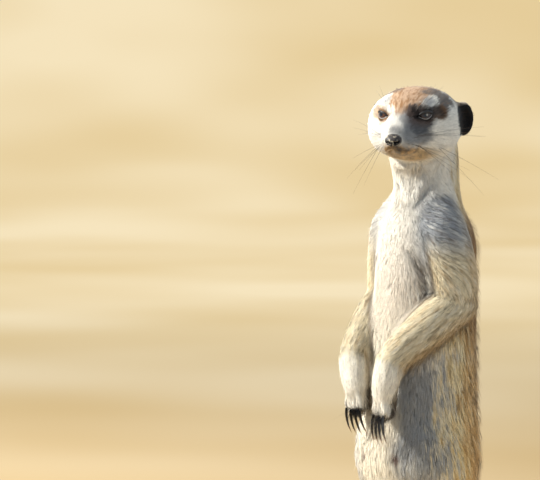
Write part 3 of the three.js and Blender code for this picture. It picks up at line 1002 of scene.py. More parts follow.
# How far each part gives way while facets are smoothed off, 0 to 1, first without and then with shrinking.
RELAX_SHARE = {"hand": 0.15, "foot": 0.3, "ear": 0.4}
MELT_SHARE = {
    "belly": 1.0, "thigh": 0.8, "chest": 0.7, "neck": 0.8, "tail": 0.6, "shank": 0.2, "head": 0.12,
}


def smooth_net():
    """The solids of flesh as one even net without facets, finer on the face and round the eyes."""
    shells = joined_solids(FLESH + FILLED, OVERLAP)
    mesh = modified(shells, "REMESH", mode="VOXEL", voxel_size=VOXEL)
    net = SkinNet(mesh)
    parts = nearest_part(net.points)
    net.relax(40, by_part(parts, lambda part: RELAX_SHARE.get(part.split("_")[0], 1.0), net, 6))
    give = by_part(parts, lambda part: MELT_SHARE.get(part.split("_")[0], 0.1), net, 10)
    jaw = bump(to_head(net.points), (0, 46, -17), (26, 26, 9))
    net.melt(50, np.maximum(give, 1.2 * jaw[:, None]).clip(0, 1))
    collar = np.exp(-(((net.points[:, 2] / MM - 242) / 11) ** 2))
    net.melt(150, collar[:, None])
    mesh.vertices.foreach_set("co", net.points.ravel())
    refine(mesh, lambda p: (p[:, 1] < 54) & (p[:, 1] > -5) & (np.abs(p[:, 0]) < 30))
    eyes = [eye_frame(sign)[0] for sign in (1, -1)]
    refine(mesh, lambda p: np.min([np.linalg.norm(p - c, axis=1) for c in eyes], axis=0) < 10.0)
    net = SkinNet(mesh)
    net.relax(12, 0.8)
    return mesh, net


def sculpt(net, parts):
    """Sinks the net under the solids by the depth of the coat, and carves trunk, hands and face."""
    depth = by_part(parts, lambda part: coat_row(part)[0], net, 34)
    net.points -= net.normals() * depth * MM
    normals = net.normals()
    trunk = ("neck", "chest", "belly")
    on_trunk, with_arms = share_of(trunk, parts, net), share_of((*trunk, "upper_arm"), parts, net)
    net.points = sculpt_trunk(net.points, normals, on_trunk, with_arms)
    for number in numbers_of("hand"):
        here = parts == number
        net.points[here] = spread_digits(net.points[here], number)
    net.points = sculpt_digits(net.points, normals, parts)
    places = to_head(net.points)
    face = np.nonzero((places[:, 1] < 76) & (places[:, 2] > -22))[0]
    places[face] = sculpt_face(places[face], (normals @ HEAD_AXES.T)[face])
    net.points[face] = from_head(sculpt_lids(places[face]))


class MEERKAT_OT_skin(bpy.types.Operator):
    """Joins the solids of flesh into one skin that lies under them by the depth of the coat"""

    bl_idname = "meerkat.skin"
    bl_label = "Skin"

    def execute(self, context):
        mesh, net = smooth_net()
        parts = nearest_part(net.points)
        sculpt(net, parts)
        mesh.vertices.foreach_set("co", net.points.ravel())
        mesh.update()
        mesh.polygons.foreach_set("use_smooth", np.ones(len(mesh.polygons), dtype=bool))
        normals = net.normals()
        lie = lie_of_hair(net, parts, normals)
        store(mesh, "lie", "FLOAT_VECTOR", lie)
        store(mesh, "part", "INT", parts.astype(np.int32))
        for name, values in zip(COAT_COLUMNS, by_part(parts, coat_row, net, 40).T):
            store(mesh, name, "FLOAT", values)
        weights = net.spread(np.eye(len(FLESH))[parts], BLEND)
        paint(mesh, markings(net.points, normals, lie, weights))
        mesh.name = "skin"
        mesh.materials.clear()
        mesh.materials.append(hide_material())
        skin = bpy.data.objects.new("skin", mesh)
        context.scene.collection.objects.link(skin)
        settle(skin, "coat", *FLESH)
        print(f"skin: {len(mesh.vertices)} points, {len(net.triangles)} triangles")
        return {"FINISHED"}


# -------- markings


def palette(*names):
    """Linear colours from the sidebar."""
    colours = chosen("colours")
    return [np.array(getattr(colours, name)) for name in names]


def markings(points, normals, lie, weights):
    """The animal's colours at places on its skin, from where they lie on the body."""
    share = dict(zip(FLESH, weights.T))

    def of(*keys):
        return sum(share[part] for part in FLESH if part.startswith(keys))[:, None]

    noise = {
        "soft": lattice_noise(points, 9 * MM, 3),
        "fine": lattice_noise(points, 2.2 * MM, 5),
        "streak": streaks(points, lie, 1.2, 6.0, 8),
        "stroke": streaks(points, lie, 0.6, 3.2, 9),
    }
    total = of("chest", "belly", "neck", "thigh") * trunk_markings(points, noise)
    total += of("upper_arm", "forearm") * arm_markings(points, normals, noise)
    total += of("hand") * hand_markings(points, normals, noise)
    total += of("shank") * leg_markings(points, normals, noise) + of("foot") * foot_markings(points, noise)
    total += of("tail") * tail_markings(points, normals, noise)
    total += of("head", "ear") * head_markings(points, lie, of("ear")[:, 0])
    # Painted shade: darker in the fold between an arm and the breast and in the grooves between the digits.
    # The digits also darken just behind the claws' roots, and the palms darken, partly their own dark hair
    # and partly painted shade.
    fold = 4 * (of("upper_arm", "forearm") * of("chest", "belly"))[:, 0]
    fold = np.clip(fold, 0, 1) * (1 - step(208, 222, points[:, 2] / MM))
    part = np.argmax(weights, axis=1)
    gap, digit, behind, palmar = digit_places(points, part)
    gap = gap * (1 - step(4.0, 9.0, behind + 1.5 * noise["fine"])) * step(0.0, 2.5, behind)
    root = digit * (1 - step(3.0, 7.0, behind + 2.0 * noise["fine"]))
    palm = step(0.5, 3.0, palmar + 1.2 * noise["stroke"]) * (1 - step(11, 20, behind + 3 * noise["fine"]))
    (band,) = palette("band")
    total = mix(total, band * 1.2, np.clip(0.65 * fold + 0.5 * gap, 0, 0.8))
    total = mix(total, band * 0.5, np.clip(0.9 * root + 0.92 * palm, 0, 0.94))
    return np.clip(total * (1.0 + 0.04 * noise["fine"][:, None]), 0.0, 1.0)


def grizzle(tone, streak, amount, dark, pale):
    """Streaks of dark and pale guard hair."""
    tone = mix(tone, dark, amount * step(0.15, 1.2, streak))
    return mix(tone, pale, 0.8 * amount * step(0.15, 1.2, -streak))


# Painted shade lies along this crease.
ARMPIT = ((30.0, 213.0), (38.0, 208.0), (45.0, 202.0), (48.0, 190.0))  # angle and height of its dark crease


def trunk_markings(points, noise):
    """White before, grey with painted shade where the hair is thin, painted shade on shoulders and armpits,
    streaked tan flanks and a banded grizzled back.
    """
    white, cream, tan, back, band, grey = palette("white", "cream", "tan", "back", "band", "grey")
    angle, height = around_trunk(points)
    soft, fine, streak, stroke = noise["soft"], noise["fine"], noise["streak"], noise["stroke"]
    turn = np.abs(angle) + 6 * soft + 4 * fine + 13 * streak + 5 * stroke
    turn -= 32 * step(224, 246, height)
    low = 1.0 - step(95, 175, height)
    # Grey where the hair is thin and the skin shows, painted darker and bluer as shade under the arms; on
    # the left it starts nearer the front, as painted shadow of the near arm.
    inner = np.where(angle > 0, angle, -angle - 18)
    thin_hair_and_shade = step(10, 28, inner + 4 * soft) * (1 - step(56, 82, turn))
    thin_hair_and_shade *= (1 - step(146, 186, height)) * step(58, 104, height + 6 * soft + 6 * streak)
    tone = mix(plain(white, points), grey * (0.62, 0.68, 0.74), 0.85 * thin_hair_and_shade)
    # The breast next to the arms turns a warm grey, partly skin showing through the short hair and partly
    # painted shade from the arms.
    shade_beside_arms = bell(np.abs(angle), 42, 15, height, 186, 26)
    warm_grey = mix(tan, grey, 0.5) * (0.95, 0.88, 0.86)
    tone = mix(tone, warm_grey, 0.6 * shade_beside_arms * step(-0.9, 0.6, fine + streak))
    pink = bell(np.abs(angle), 14, 26, height, 190, 34)
    tone = mix(tone, tone * (0.93, 0.87, 0.83), pink)
    tone = mix(tone, mix(white, cream, 0.45), 0.6 * (1 - step(150, 215, height)) * (1 - thin_hair_and_shade))
    tone = mix(tone, cream, step(60 - 8 * low, 90 - 8 * low, turn))
    tone = mix(tone, tan, step(88 - 12 * low, 118 - 12 * low, turn))
    tone = mix(tone, back, step(112, 145, turn))
    flank = step(62, 92, turn)
    tone = grizzle(tone, streak, 0.62 * flank, mix(tan, band, 0.45), mix(white, cream, 0.5))
    tone = grizzle(tone, stroke, 0.26 * flank + 0.12 * thin_hair_and_shade, band * 1.6, mix(white, cream, 0.4))
    wave = np.sin((height + 3.5 * soft + 0.08 * (180 - turn)) * 2 * math.pi / 12.5)
    banded = step(116, 146, turn) * step(80, 104, height) * (1 - step(176, 206, height))
    tone = mix(tone, band, 0.62 * banded * step(-0.4, 0.9, wave + 0.5 * fine + 0.5 * streak))
    # The hair of the upper back is long, warm brown and streaked with black.
    shoulder_back = step(93, 120, turn + 4 * streak) * step(150, 205, height + 5 * streak)
    shoulder_back *= 1 - step(222, 244, height)
    tone = mix(tone, tan * WARM_BROWN * (0.72, 0.71, 0.68), 0.82 * shoulder_back)
    tone = mix(tone, band * 0.8, 0.7 * shoulder_back * step(-0.1, 0.8, streak + 0.5 * stroke))
    nape = step(225, 250, height) * step(88, 112, turn)
    tone = mix(tone, mix(back, grey, 0.4), 0.7 * nape)
    tone = tone * mix(1.0, np.array((1.20, 1.19, 1.14)), flank * (1 - shoulder_back))
    warm = flank * (1 - step(92, 128, height + 8 * soft))
    tone = tone * mix(1.0, np.array((1.08, 1.0, 0.84)), warm)
    for side in (1, -1):
        nipple = ((angle - side * 21.5) / 4.4) ** 2 + ((height - 102 - 0.5 * fine) / 3.0) ** 2
        tone = mix(tone, np.array(srgb("#4e2c25")), 0.95 * np.exp(-(nipple ** 2)))
    throat = step(254, 264, height + 3 * soft) * (1 - step(34, 62, np.abs(angle)))
    tone = mix(tone, mix(tan, cream, 0.5), 0.32 * throat)
    tone = mix(tone, band * 1.2, 0.2 * throat * step(0.1, 0.9, stroke))
    # Painted shade: a cool blue-grey over the shoulders, full on the left one and weaker on the right, with
    # dark strokes of hair in it.
    shoulder = bell(np.abs(angle), 50, 17, height, 230, 22)
    shoulder *= np.where(angle > 0, 1.0, 0.6)
    tone = mix(tone, grey * (0.84, 0.95, 1.08), 0.9 * shoulder)
    tone = mix(tone, band, 0.4 * shoulder * step(0.3, 1.0, stroke))
    # Painted shade: the armpit crease darkened.
    gap, _ = line_on_trunk(np.abs(angle), height, ARMPIT)
    return mix(tone, band * 0.7, 0.85 * np.exp(-((gap / 2.2) ** 2)) * step(-0.8, 0.4, fine))


def arm_markings(points, normals, noise):
    """Cream arms with fine dark strokes, tan on their inner and under sides, with painted shade beneath and
    a painted cool shade on the front of the shoulder.
    """
    white, cream, tan, band, grey = palette("white", "cream", "tan", "band", "grey")
    tone = plain(mix(cream, white, 0.25), points)
    outer = np.sign(points[:, 0]) * normals[:, 0]
    inner = step(0.0, 0.7, -outer) * step(-0.2, 0.5, normals[:, 1])
    under = step(0.2, 0.8, -normals[:, 2])
    tone = mix(tone, tan, 0.6 * inner + 0.3 * under)
    tone = mix(tone, mix(tan, cream, 0.2), 0.75 * step(-0.3, 0.6, normals[:, 1]) * (1 - inner))
    # Painted shade: the undersides that face down are darkened towards the band colour.
    tone = mix(tone, band, 0.55 * step(0.6, 0.95, -normals[:, 2] + 0.2 * noise["stroke"]))
    height = points[:, 2] / MM
    high = step(208, 230, height)
    tone = mix(tone, mix(white, grey, 0.7), 0.8 * high)
    # Painted shade: a cool blue-grey on the forward-facing top of the upper arm, full on the left arm and
    # weaker on the right.
    thin = step(208, 226, height) * step(0.6, -0.2, normals[:, 1])
    thin *= np.where(points[:, 0] > 0, 1.0, 0.3)
    tone = mix(tone, grey * (0.84, 0.96, 1.10), 0.75 * thin)
    tone = grizzle(tone, noise["stroke"] + 0.3 * noise["streak"], 0.5, band * 1.4, white)
    return mix(tone, tan, 0.25 * step(0.2, 1.0, noise["streak"]) * (1 - high))


def hand_markings(points, normals, noise):
    """White backs of the hands, and hair round the palms and the claws' roots darkened partly for its own
    dark colour and partly as painted shade on the sides facing the body.
    """
    white, cream, tan, band = palette("white", "cream", "tan", "band")
    wrist = step(146, 174, points[:, 2] / MM + 6 * noise["streak"])
    tone = mix(plain(mix(white, cream, 0.12), points), mix(cream, white, 0.25), wrist)
    # The sides facing the body go tan and then dark, most near the claws: the palms' own dark hair together
    # with painted shade.
    inward = normals[:, 1] * 0.9 - 0.2 * normals[:, 2] + 0.25 * noise["fine"]
    ends = claw_nearness(points)
    tone = mix(tone, mix(tan, cream, 0.5), 0.45 * step(-0.1, 0.5, inward))
    tone = mix(tone, band * 0.6, (0.5 + 0.4 * ends) * step(0.2, 0.7, inward + 0.3 * ends))
    return grizzle(tone, noise["stroke"], 0.3, band * 1.4, white)


def leg_markings(points, normals, noise):
    """Streaked tan shins, pale inside."""
    white, cream, tan, band = palette("white", "cream", "tan", "band")
    outer = step(-0.1, 0.7, np.sign(points[:, 0]) * normals[:, 0] + 0.3 * normals[:, 1])
    tone = mix(plain(mix(white, cream, 0.6), points), mix(tan, cream, 0.25), outer)
    return grizzle(tone, noise["stroke"] + 0.4 * noise["streak"], 0.35, band * 1.6, white)


def foot_markings(points, noise):
    """Cream feet with fine dark strokes."""
    white, cream, band = palette("white", "cream", "band")
    tone = plain(mix(white, cream, 0.65), points)
    return grizzle(tone, noise["stroke"], 0.2, band * 2, white)


def tail_markings(points, normals, noise):
    """Tan, darker above, paler below, with a black tip."""
    cream, tan, back, band, black = palette("cream", "tan", "back", "band", "black")
    tone = mix(plain(tan, points), back, 0.6 * step(-0.2, 0.7, normals[:, 2]))
    tone = mix(tone, cream, 0.4 * step(0.2, 0.8, -normals[:, 2]))
    tone = grizzle(tone, noise["streak"], 0.5, band * 1.5, cream)
    return mix(tone, black, step(0.086, 0.106, points[:, 1] + 0.004 * noise["streak"]))


# Dark forms of the face, as middles and radii in head places, all in mm.
EYE_PATCH = (
    ((11.8, 26.6, 9.2), (7.2, 7.0, 6.2)),
    ((6.0, 22.0, 11.2), (4.2, 5.2, 3.6)),
    ((9.6, 21.0, 4.6), (6.8, 9.6, 6.4)),
)
EYE_SHADE = (
    ((13.0, 28.5, 10.6), (5.6, 5.6, 5.0)),
    ((7.8, 23.6, 12.4), (3.0, 4.0, 2.4)),
)
MUZZLE_SHADE = (
    ((5.6, 17.0, 7.0), (6.2, 8.8, 5.6)),
    ((7.0, 12.0, 0.0), (5.0, 9.0, 5.6)),
    ((11.6, 23.0, -2.4), (5.0, 9.0, 4.6)),
)
TEMPLE = (
    ((18.2, 35.2, 10.4), (3.8, 5.4, 4.8)),
    ((16.6, 31.4, 10.4), (4.0, 4.4, 3.8)),
)
BROW_SPOT = ((11.9, 35.2, 16.0), (3.0, 4.6, 2.2))
CROWN_BORDER = (
    (9.0, 45.0, 20.4), (14.0, 48.5, 18.8), (17.6, 45.6, 16.4), (19.6, 41.0, 13.6), (19.2, 37.4, 11.4),
)
CROWN_REAR = ((10.0, 52.0, 19.8), (16.0, 52.0, 17.4), (19.6, 48.0, 14.6))
# Places behind the nose tip, and half the crown's width at each.
CROWN_HALF = ((15, 19, 24, 28.7, 33.6, 40, 48, 58), (0.8, 2.6, 5.2, 8.2, 9.8, 10.8, 12.5, 13.0))
CHIN = ((0.0, 24.0, -13.4), (16.0, 23.0, 8.0))
EAR_HOLLOW = ((26.0, 60.6, 3.0), (9.0, 13.4, 8.8))
# Painted light: the sunlit tan round the right temple.
RIGHT_TEMPLE = ((16.6, 32.6, 10.6), (4.6, 5.0, 4.4))
NOSE_TOP = ((0, 6.8, 2.2), (3.4, 3.6, 3.4))
WARM_BROWN = np.array((0.78, 0.62, 0.42))
# A cool blue-grey: the painted shade down the muzzle's sides, also used for the lower part of the eye
# patches and above the nose.
SLATE = np.array(srgb("#686a6e"))


def head_markings(points, lie, ear):
    """Crown, brow spots, eye patches, temples, muzzle, lips and ears."""
    white, cream, tan, back, band, grey, crown, mask, black = palette(
        "white", "cream", "tan", "back", "band", "grey", "crown", "mask", "black"
    )
    places = to_head(points)
    fine = lattice_noise(points, 1.3 * MM, 11)
    soft = lattice_noise(points, 5 * MM, 12)
    strokes = streaks(points, lie, 0.8, 2.4, 13)
    p = places + np.column_stack([fine, strokes, soft]) * 0.6
    side, back_of, up = np.abs(p[:, 0]), p[:, 1], p[:, 2]
    right = step(1.0, -1.0, p[:, 0])
    folded = np.column_stack([side, back_of, up])
    tone = plain(mix(white, grey, 0.16), points)
    # A reddish cap narrows to a point between the eyes. It grizzles into the nape.
    half = np.interp(back_of, *CROWN_HALF) + 0.8 * strokes
    cap = (1 - step(half - 1.2, half + 1.2, side)) * step(7, 11, up) * step(15, 19, back_of)
    cap_tone = mix(mix(crown, white, 0.22), mix(crown, mask, 0.4), step(-0.8, 1.0, strokes))
    tone = mix(tone, cap_tone, cap)
    nape = step(50, 64, back_of) * step(-4, 10, up + 0.8 * soft)
    tone = mix(tone, mix(mix(back, grey, 0.4), band, 0.35 * step(0, 1, strokes)), nape)
    gap = np.minimum(near_line(folded, CROWN_BORDER)[0], near_line(folded, CROWN_REAR)[0])
    border = 1 - step(2.2, 5.4, gap + 0.8 * strokes)
    border_tone = mix(mix(grey, mask, 0.65), band, np.clip(0.5 + 0.4 * strokes, 0, 1))
    border_tone = mix(border_tone, crown * 0.7, 0.5 * step(0.1, 0.9, -strokes + 0.4 * soft))
    # Painted light: on the right, the sunlit side, the border is mostly left out towards the front.
    tone = mix(tone, border_tone, 0.92 * border * (1 - 0.85 * right * (1 - step(42, 52, back_of))))
    wavy = folded + strokes[:, None] * (0.0, 0.9, 0.9)
    tone = mix(tone, mix(white, grey, 0.85), 0.92 * blob(wavy, *BROW_SPOT, 1.0))
    # Bridge pale; painted shade down the muzzle's sides, a cool blue-grey, full on the left and weaker on
    # the right.
    sides = np.clip(sum(blob(folded, *form, 0.9) for form in MUZZLE_SHADE), 0, 1)
    tone = mix(tone, SLATE, 0.85 * sides * (1 - 0.6 * right))
    temple = np.clip(sum(blob(folded, *form, 0.5) for form in TEMPLE), 0, 1)
    orange = np.clip(step(9.5, 3, up) * 0.6 + step(36.5, 41, back_of) * 0.6, 0, 1)
    # Painted light: the right temple, on the sunlit side, is paler and more orange than the left.
    temple_tone = mix(mix(mask, band, 0.4), crown * (0.72, 0.60, 0.44), np.maximum(orange, 0.4 * right))
    tone = mix(tone, temple_tone, 0.95 * temple * (1 - 0.3 * right))
    # Painted light: tan round the right eye and on the right temple, the sunlit side.
    sunlit_far_tan = right * np.clip(blob(folded, *RIGHT_TEMPLE, 1.0) + eye_nearness(places, 5), 0, 1)
    tone = mix(tone, mix(tan, crown, 0.4), 0.55 * sunlit_far_tan * step(-0.9, 0.7, strokes))
    patch = np.clip(sum(blob(wavy, *form, 1.0) for form in EYE_PATCH), 0, 1)
    # Painted light: the patch round the right eye, on the sunlit side, is painted smaller and browner.
    ring = np.maximum(eye_nearness(places, 3.4), 0.9 * patch * step(30, 33, back_of))
    patch = mix(patch, ring, right)
    close = np.clip(sum(blob(folded, *form, 0.9) for form in EYE_SHADE), 0, 1)
    patch_tone = mix(mix(mask * 3.4, SLATE * 0.62, step(7.5, 1.0, up)), mask, close)
    patch_tone = mix(patch_tone, black, 0.3 * step(-0.2, 0.9, strokes))
    tone = mix(tone, mix(patch_tone, crown * 0.5, 0.6 * right), patch)
    tone = mix(tone, SLATE * 0.6, 0.8 * blob(folded, *NOSE_TOP, 0.9))
    # Round each eye: black on the left, and a painted light brown on the right, the sunlit side.
    around_eye = eye_nearness(places, 1.8)
    tone = mix(tone, mix(plain(black, points), crown * 0.35, right), 0.9 * around_eye)
    # Yellow-brown speckled lips and a tan chin.
    gap, along = near_line(folded, MOUTH)
    speckle = lattice_noise(points, 1.7 * MM, 15) + 0.5 * lattice_noise(points, 0.8 * MM, 16)
    lip_wide = mix(2.6, 3.8, step(-7, -10, up))
    lip = np.exp(-((np.maximum(gap - 0.8, 0) / lip_wide) ** 2)) * (1 - step(0.9, 1.0, along))
    chin = blob(folded, *CHIN, 0.7) * (1 - step(-9, -7, up))
    mottle = step(-0.2, 0.7, speckle + 0.5 * step(24, 12, back_of))
    chin_tone = mix(tan * (0.90, 0.92, 0.80), band * 0.8, 0.65 * mottle)
    chin_tone = mix(chin_tone, mix(white, cream, 0.6), 0.6 * step(36, 50, back_of))
    tone = mix(tone, chin_tone, 0.85 * chin)
    lip_tone = mix(tan * (0.76, 0.70, 0.50), mask * 1.6, np.clip(0.5 + 0.75 * speckle, 0, 1))
    tone = mix(tone, lip_tone, 0.92 * lip)
    # Ears: black hollows with a pale rim of cheek hair before and above them.
    rim = np.maximum(1 - step(50.5, 52.0, back_of + 0.25 * (up - 4)), step(10.8, 12.4, up + 0.4 * strokes))
    corner = np.hypot((back_of - 60.0) / 10.4, (up - 2.0) / 10.4) + 0.03 * strokes
    rim = np.maximum(rim, step(0.94, 1.06, corner) * (1 - step(57, 61, back_of)))
    rim_tone = mix(mix(white, grey, 0.6), tan, 0.3 * step(60, 66, back_of))
    tone = mix(tone, mix(black, rim_tone, rim), step(0.3, 0.6, ear))
    hollow = blob(folded, *EAR_HOLLOW, 0.16) * (1 - step(66, 70, back_of))
    tone = mix(tone, mix(black, band * 0.5, 0.4 * step(0.2, 1.0, strokes)), hollow)
    return np.clip(tone * (1 + 0.09 * strokes[:, None]), 0, 1)


# -------- coat


class Skin:
    """What the coat needs to know of the skin, read back from its mesh."""

    def __init__(self):
        mesh = bpy.data.objects["skin"].data
        self.points = vectors_of(mesh.vertices, "co")
        mesh.calc_loop_triangles()
        self.triangles = vectors_of(mesh.loop_triangles, "vertices", 3).astype(np.int64)
        self.normals = unit(vectors_of(mesh.vertices, "normal"))
        self.lie = read(mesh, "lie", 3)
        self.part = read(mesh, "part").astype(int)
        self.rows = {name: read(mesh, name) for name in COAT_COLUMNS}
        self.weights = SkinNet(mesh).spread(np.eye(len(FLESH))[self.part], BLEND)
        self.tree = BVHTree.FromPolygons(self.points.tolist(), self.triangles.tolist())

    def nearest(self, points):
        """Nearest places on the skin, with their triangles."""
        places, faces = np.empty_like(points), np.empty(len(points), dtype=np.int64)
        for i, point in enumerate(points.tolist()):
            places[i], _, faces[i], _ = self.tree.find_nearest(point)
        return places, faces

    def mean(self, values, faces):
        """A value's mean over the corners of each triangle."""
        return values[self.triangles[faces]].mean(axis=1)


def grow_limits(skin):
    """How thickly hair grows at each point: none on the eyes, nose, mouth line and soles."""
    crowd = skin.rows["crowd"] * chosen("coat").fullness
    places = to_head(skin.points)
    face = (places[:, 1] < 60) & (places[:, 1] > -6)
    for sign in (1, -1):
        gap, reach, angle, _ = opening_distance(places, sign)
        bare = (gap < 0.45) & (reach < EYE_RADIUS + 3) & (angle < 80) & face
        crowd = np.where(bare, 0.0, crowd)
    crowd = np.where((outside_nose(places) < 1.05) & face, 0.0, crowd)
    sole = (skin.normals[:, 2] < -0.6) & (skin.points[:, 2] < 4 * MM)
    return np.where(sole, 0.0, crowd)


def eye_nearness(places, reach_out=4.5):
    """1 at the lid margins, 0 away from them."""
    near = np.zeros(len(places))
    for sign in (1, -1):
        gap, reach, angle, _ = opening_distance(places, sign)
        near = np.maximum(near, (1 - step(0.4, reach_out, gap)) * (reach < EYE_RADIUS + 6) * (angle < 89))
    return near


# Pieces of the coat: the parts of the body on each, which half of them, and the finish slot.
COAT_PIECES = (
    ("coat_head_left", ("head",), 1, "coat"),
    ("coat_head_right", ("head",), -1, "coat"),
    ("coat_ears", ("ear",), 0, "ear"),
    ("coat_neck", ("neck",), 0, "coat"),
    ("coat_chest_left", ("chest",), 1, "coat"),
    ("coat_chest_right", ("chest",), -1, "coat"),
    ("coat_belly_left", ("belly",), 1, "coat"),
    ("coat_belly_right", ("belly",), -1, "coat"),
    ("coat_arm_left", ("upper_arm_left", "forearm_left"), 0, "coat"),
    ("coat_arm_right", ("upper_arm_right", "forearm_right"), 0, "coat"),
    ("coat_hands", ("hand",), 0, "coat"),
    ("coat_thighs", ("thigh",), 0, "coat"),
    ("coat_shanks", ("shank",), 0, "coat"),
    ("coat_feet", ("foot",), 0, "coat"),
    ("coat_tail", ("tail_root", "tail_middle", "tail_low"), 0, "tail"),
    ("coat_tail_tip", ("tail_tip",), 0, "tail tip"),
)
MOST_TRIANGLES = 198_000


def unwrap_roots(points, part):
    """Places of tuft roots on their part rolled flat: angle round its long axis, and length along it."""
    flat = np.zeros((len(points), 2))
    for number in np.unique(part):
        here = part == number
        middle, axes = solid_axes(FLESH[number])
        local = (points[here] - middle) @ axes.T
        flat[here, 0] = np.arctan2(local[:, 2], local[:, 1]) / (2 * math.pi) + 0.5
        flat[here, 1] = local[:, 0]
    return flat


def spread_map(flat, tile, tiles):
    """Each tile's roots stretched over its own strip of the map."""
    margin = 0.004
    out = np.empty_like(flat)
    for k in range(tiles):
        here = tile == k
        if not here.any():
            continue
        low, high = flat[here].min(axis=0), flat[here].max(axis=0)
        share = (flat[here] - low) / np.maximum(high - low, 1e-9)
        out[here, 0] = (k + margin + share[:, 0] * (1 - 2 * margin)) / tiles
        out[here, 1] = margin + share[:, 1] * (1 - 2 * margin)
    return out


# A tuft's corners are its root, left, right, ridge and tip. They lie on its own small patch of the map.
PATCH = ((0.0, -1.0), (-1.0, 0.0), (1.0, 0.0), (0.0, 0.3), (0.0, 1.0))
PATCH_SIZE = 0.003
TUFT_FACES = np.array(((0, 2, 1), (0, 3, 2), (0, 1, 3), (1, 2, 4), (2, 3, 4), (3, 1, 4)))
# Painted shade: each tuft is darker at its root, where the tufts cover each other, and a little paler at
# its tip.
ROOT_TO_TIP = (0.8, 0.98, 0.98, 1.0, 1.06)  # brightness at each corner
RIDGE = 0.22  # height of the ridge, as a share of the tuft's width
# Where the middle of a tuft stands along it and over the skin, as shares of its length and lift.
MIDDLE_ALONG, MIDDLE_LIFT = 0.45, 0.62
ROOT_DEPTH = 0.15  # how deep the roots stand in the skin, in mm
# One tuft in nine leads a lock. A lock draws the middles and the tips of its tufts by these shares.
LEADERS, MIDDLE_PULL, TIP_PULL = 1 / 9, 0.35, 0.75
COAT_SEED, WHISKER_SEED = 7, 21


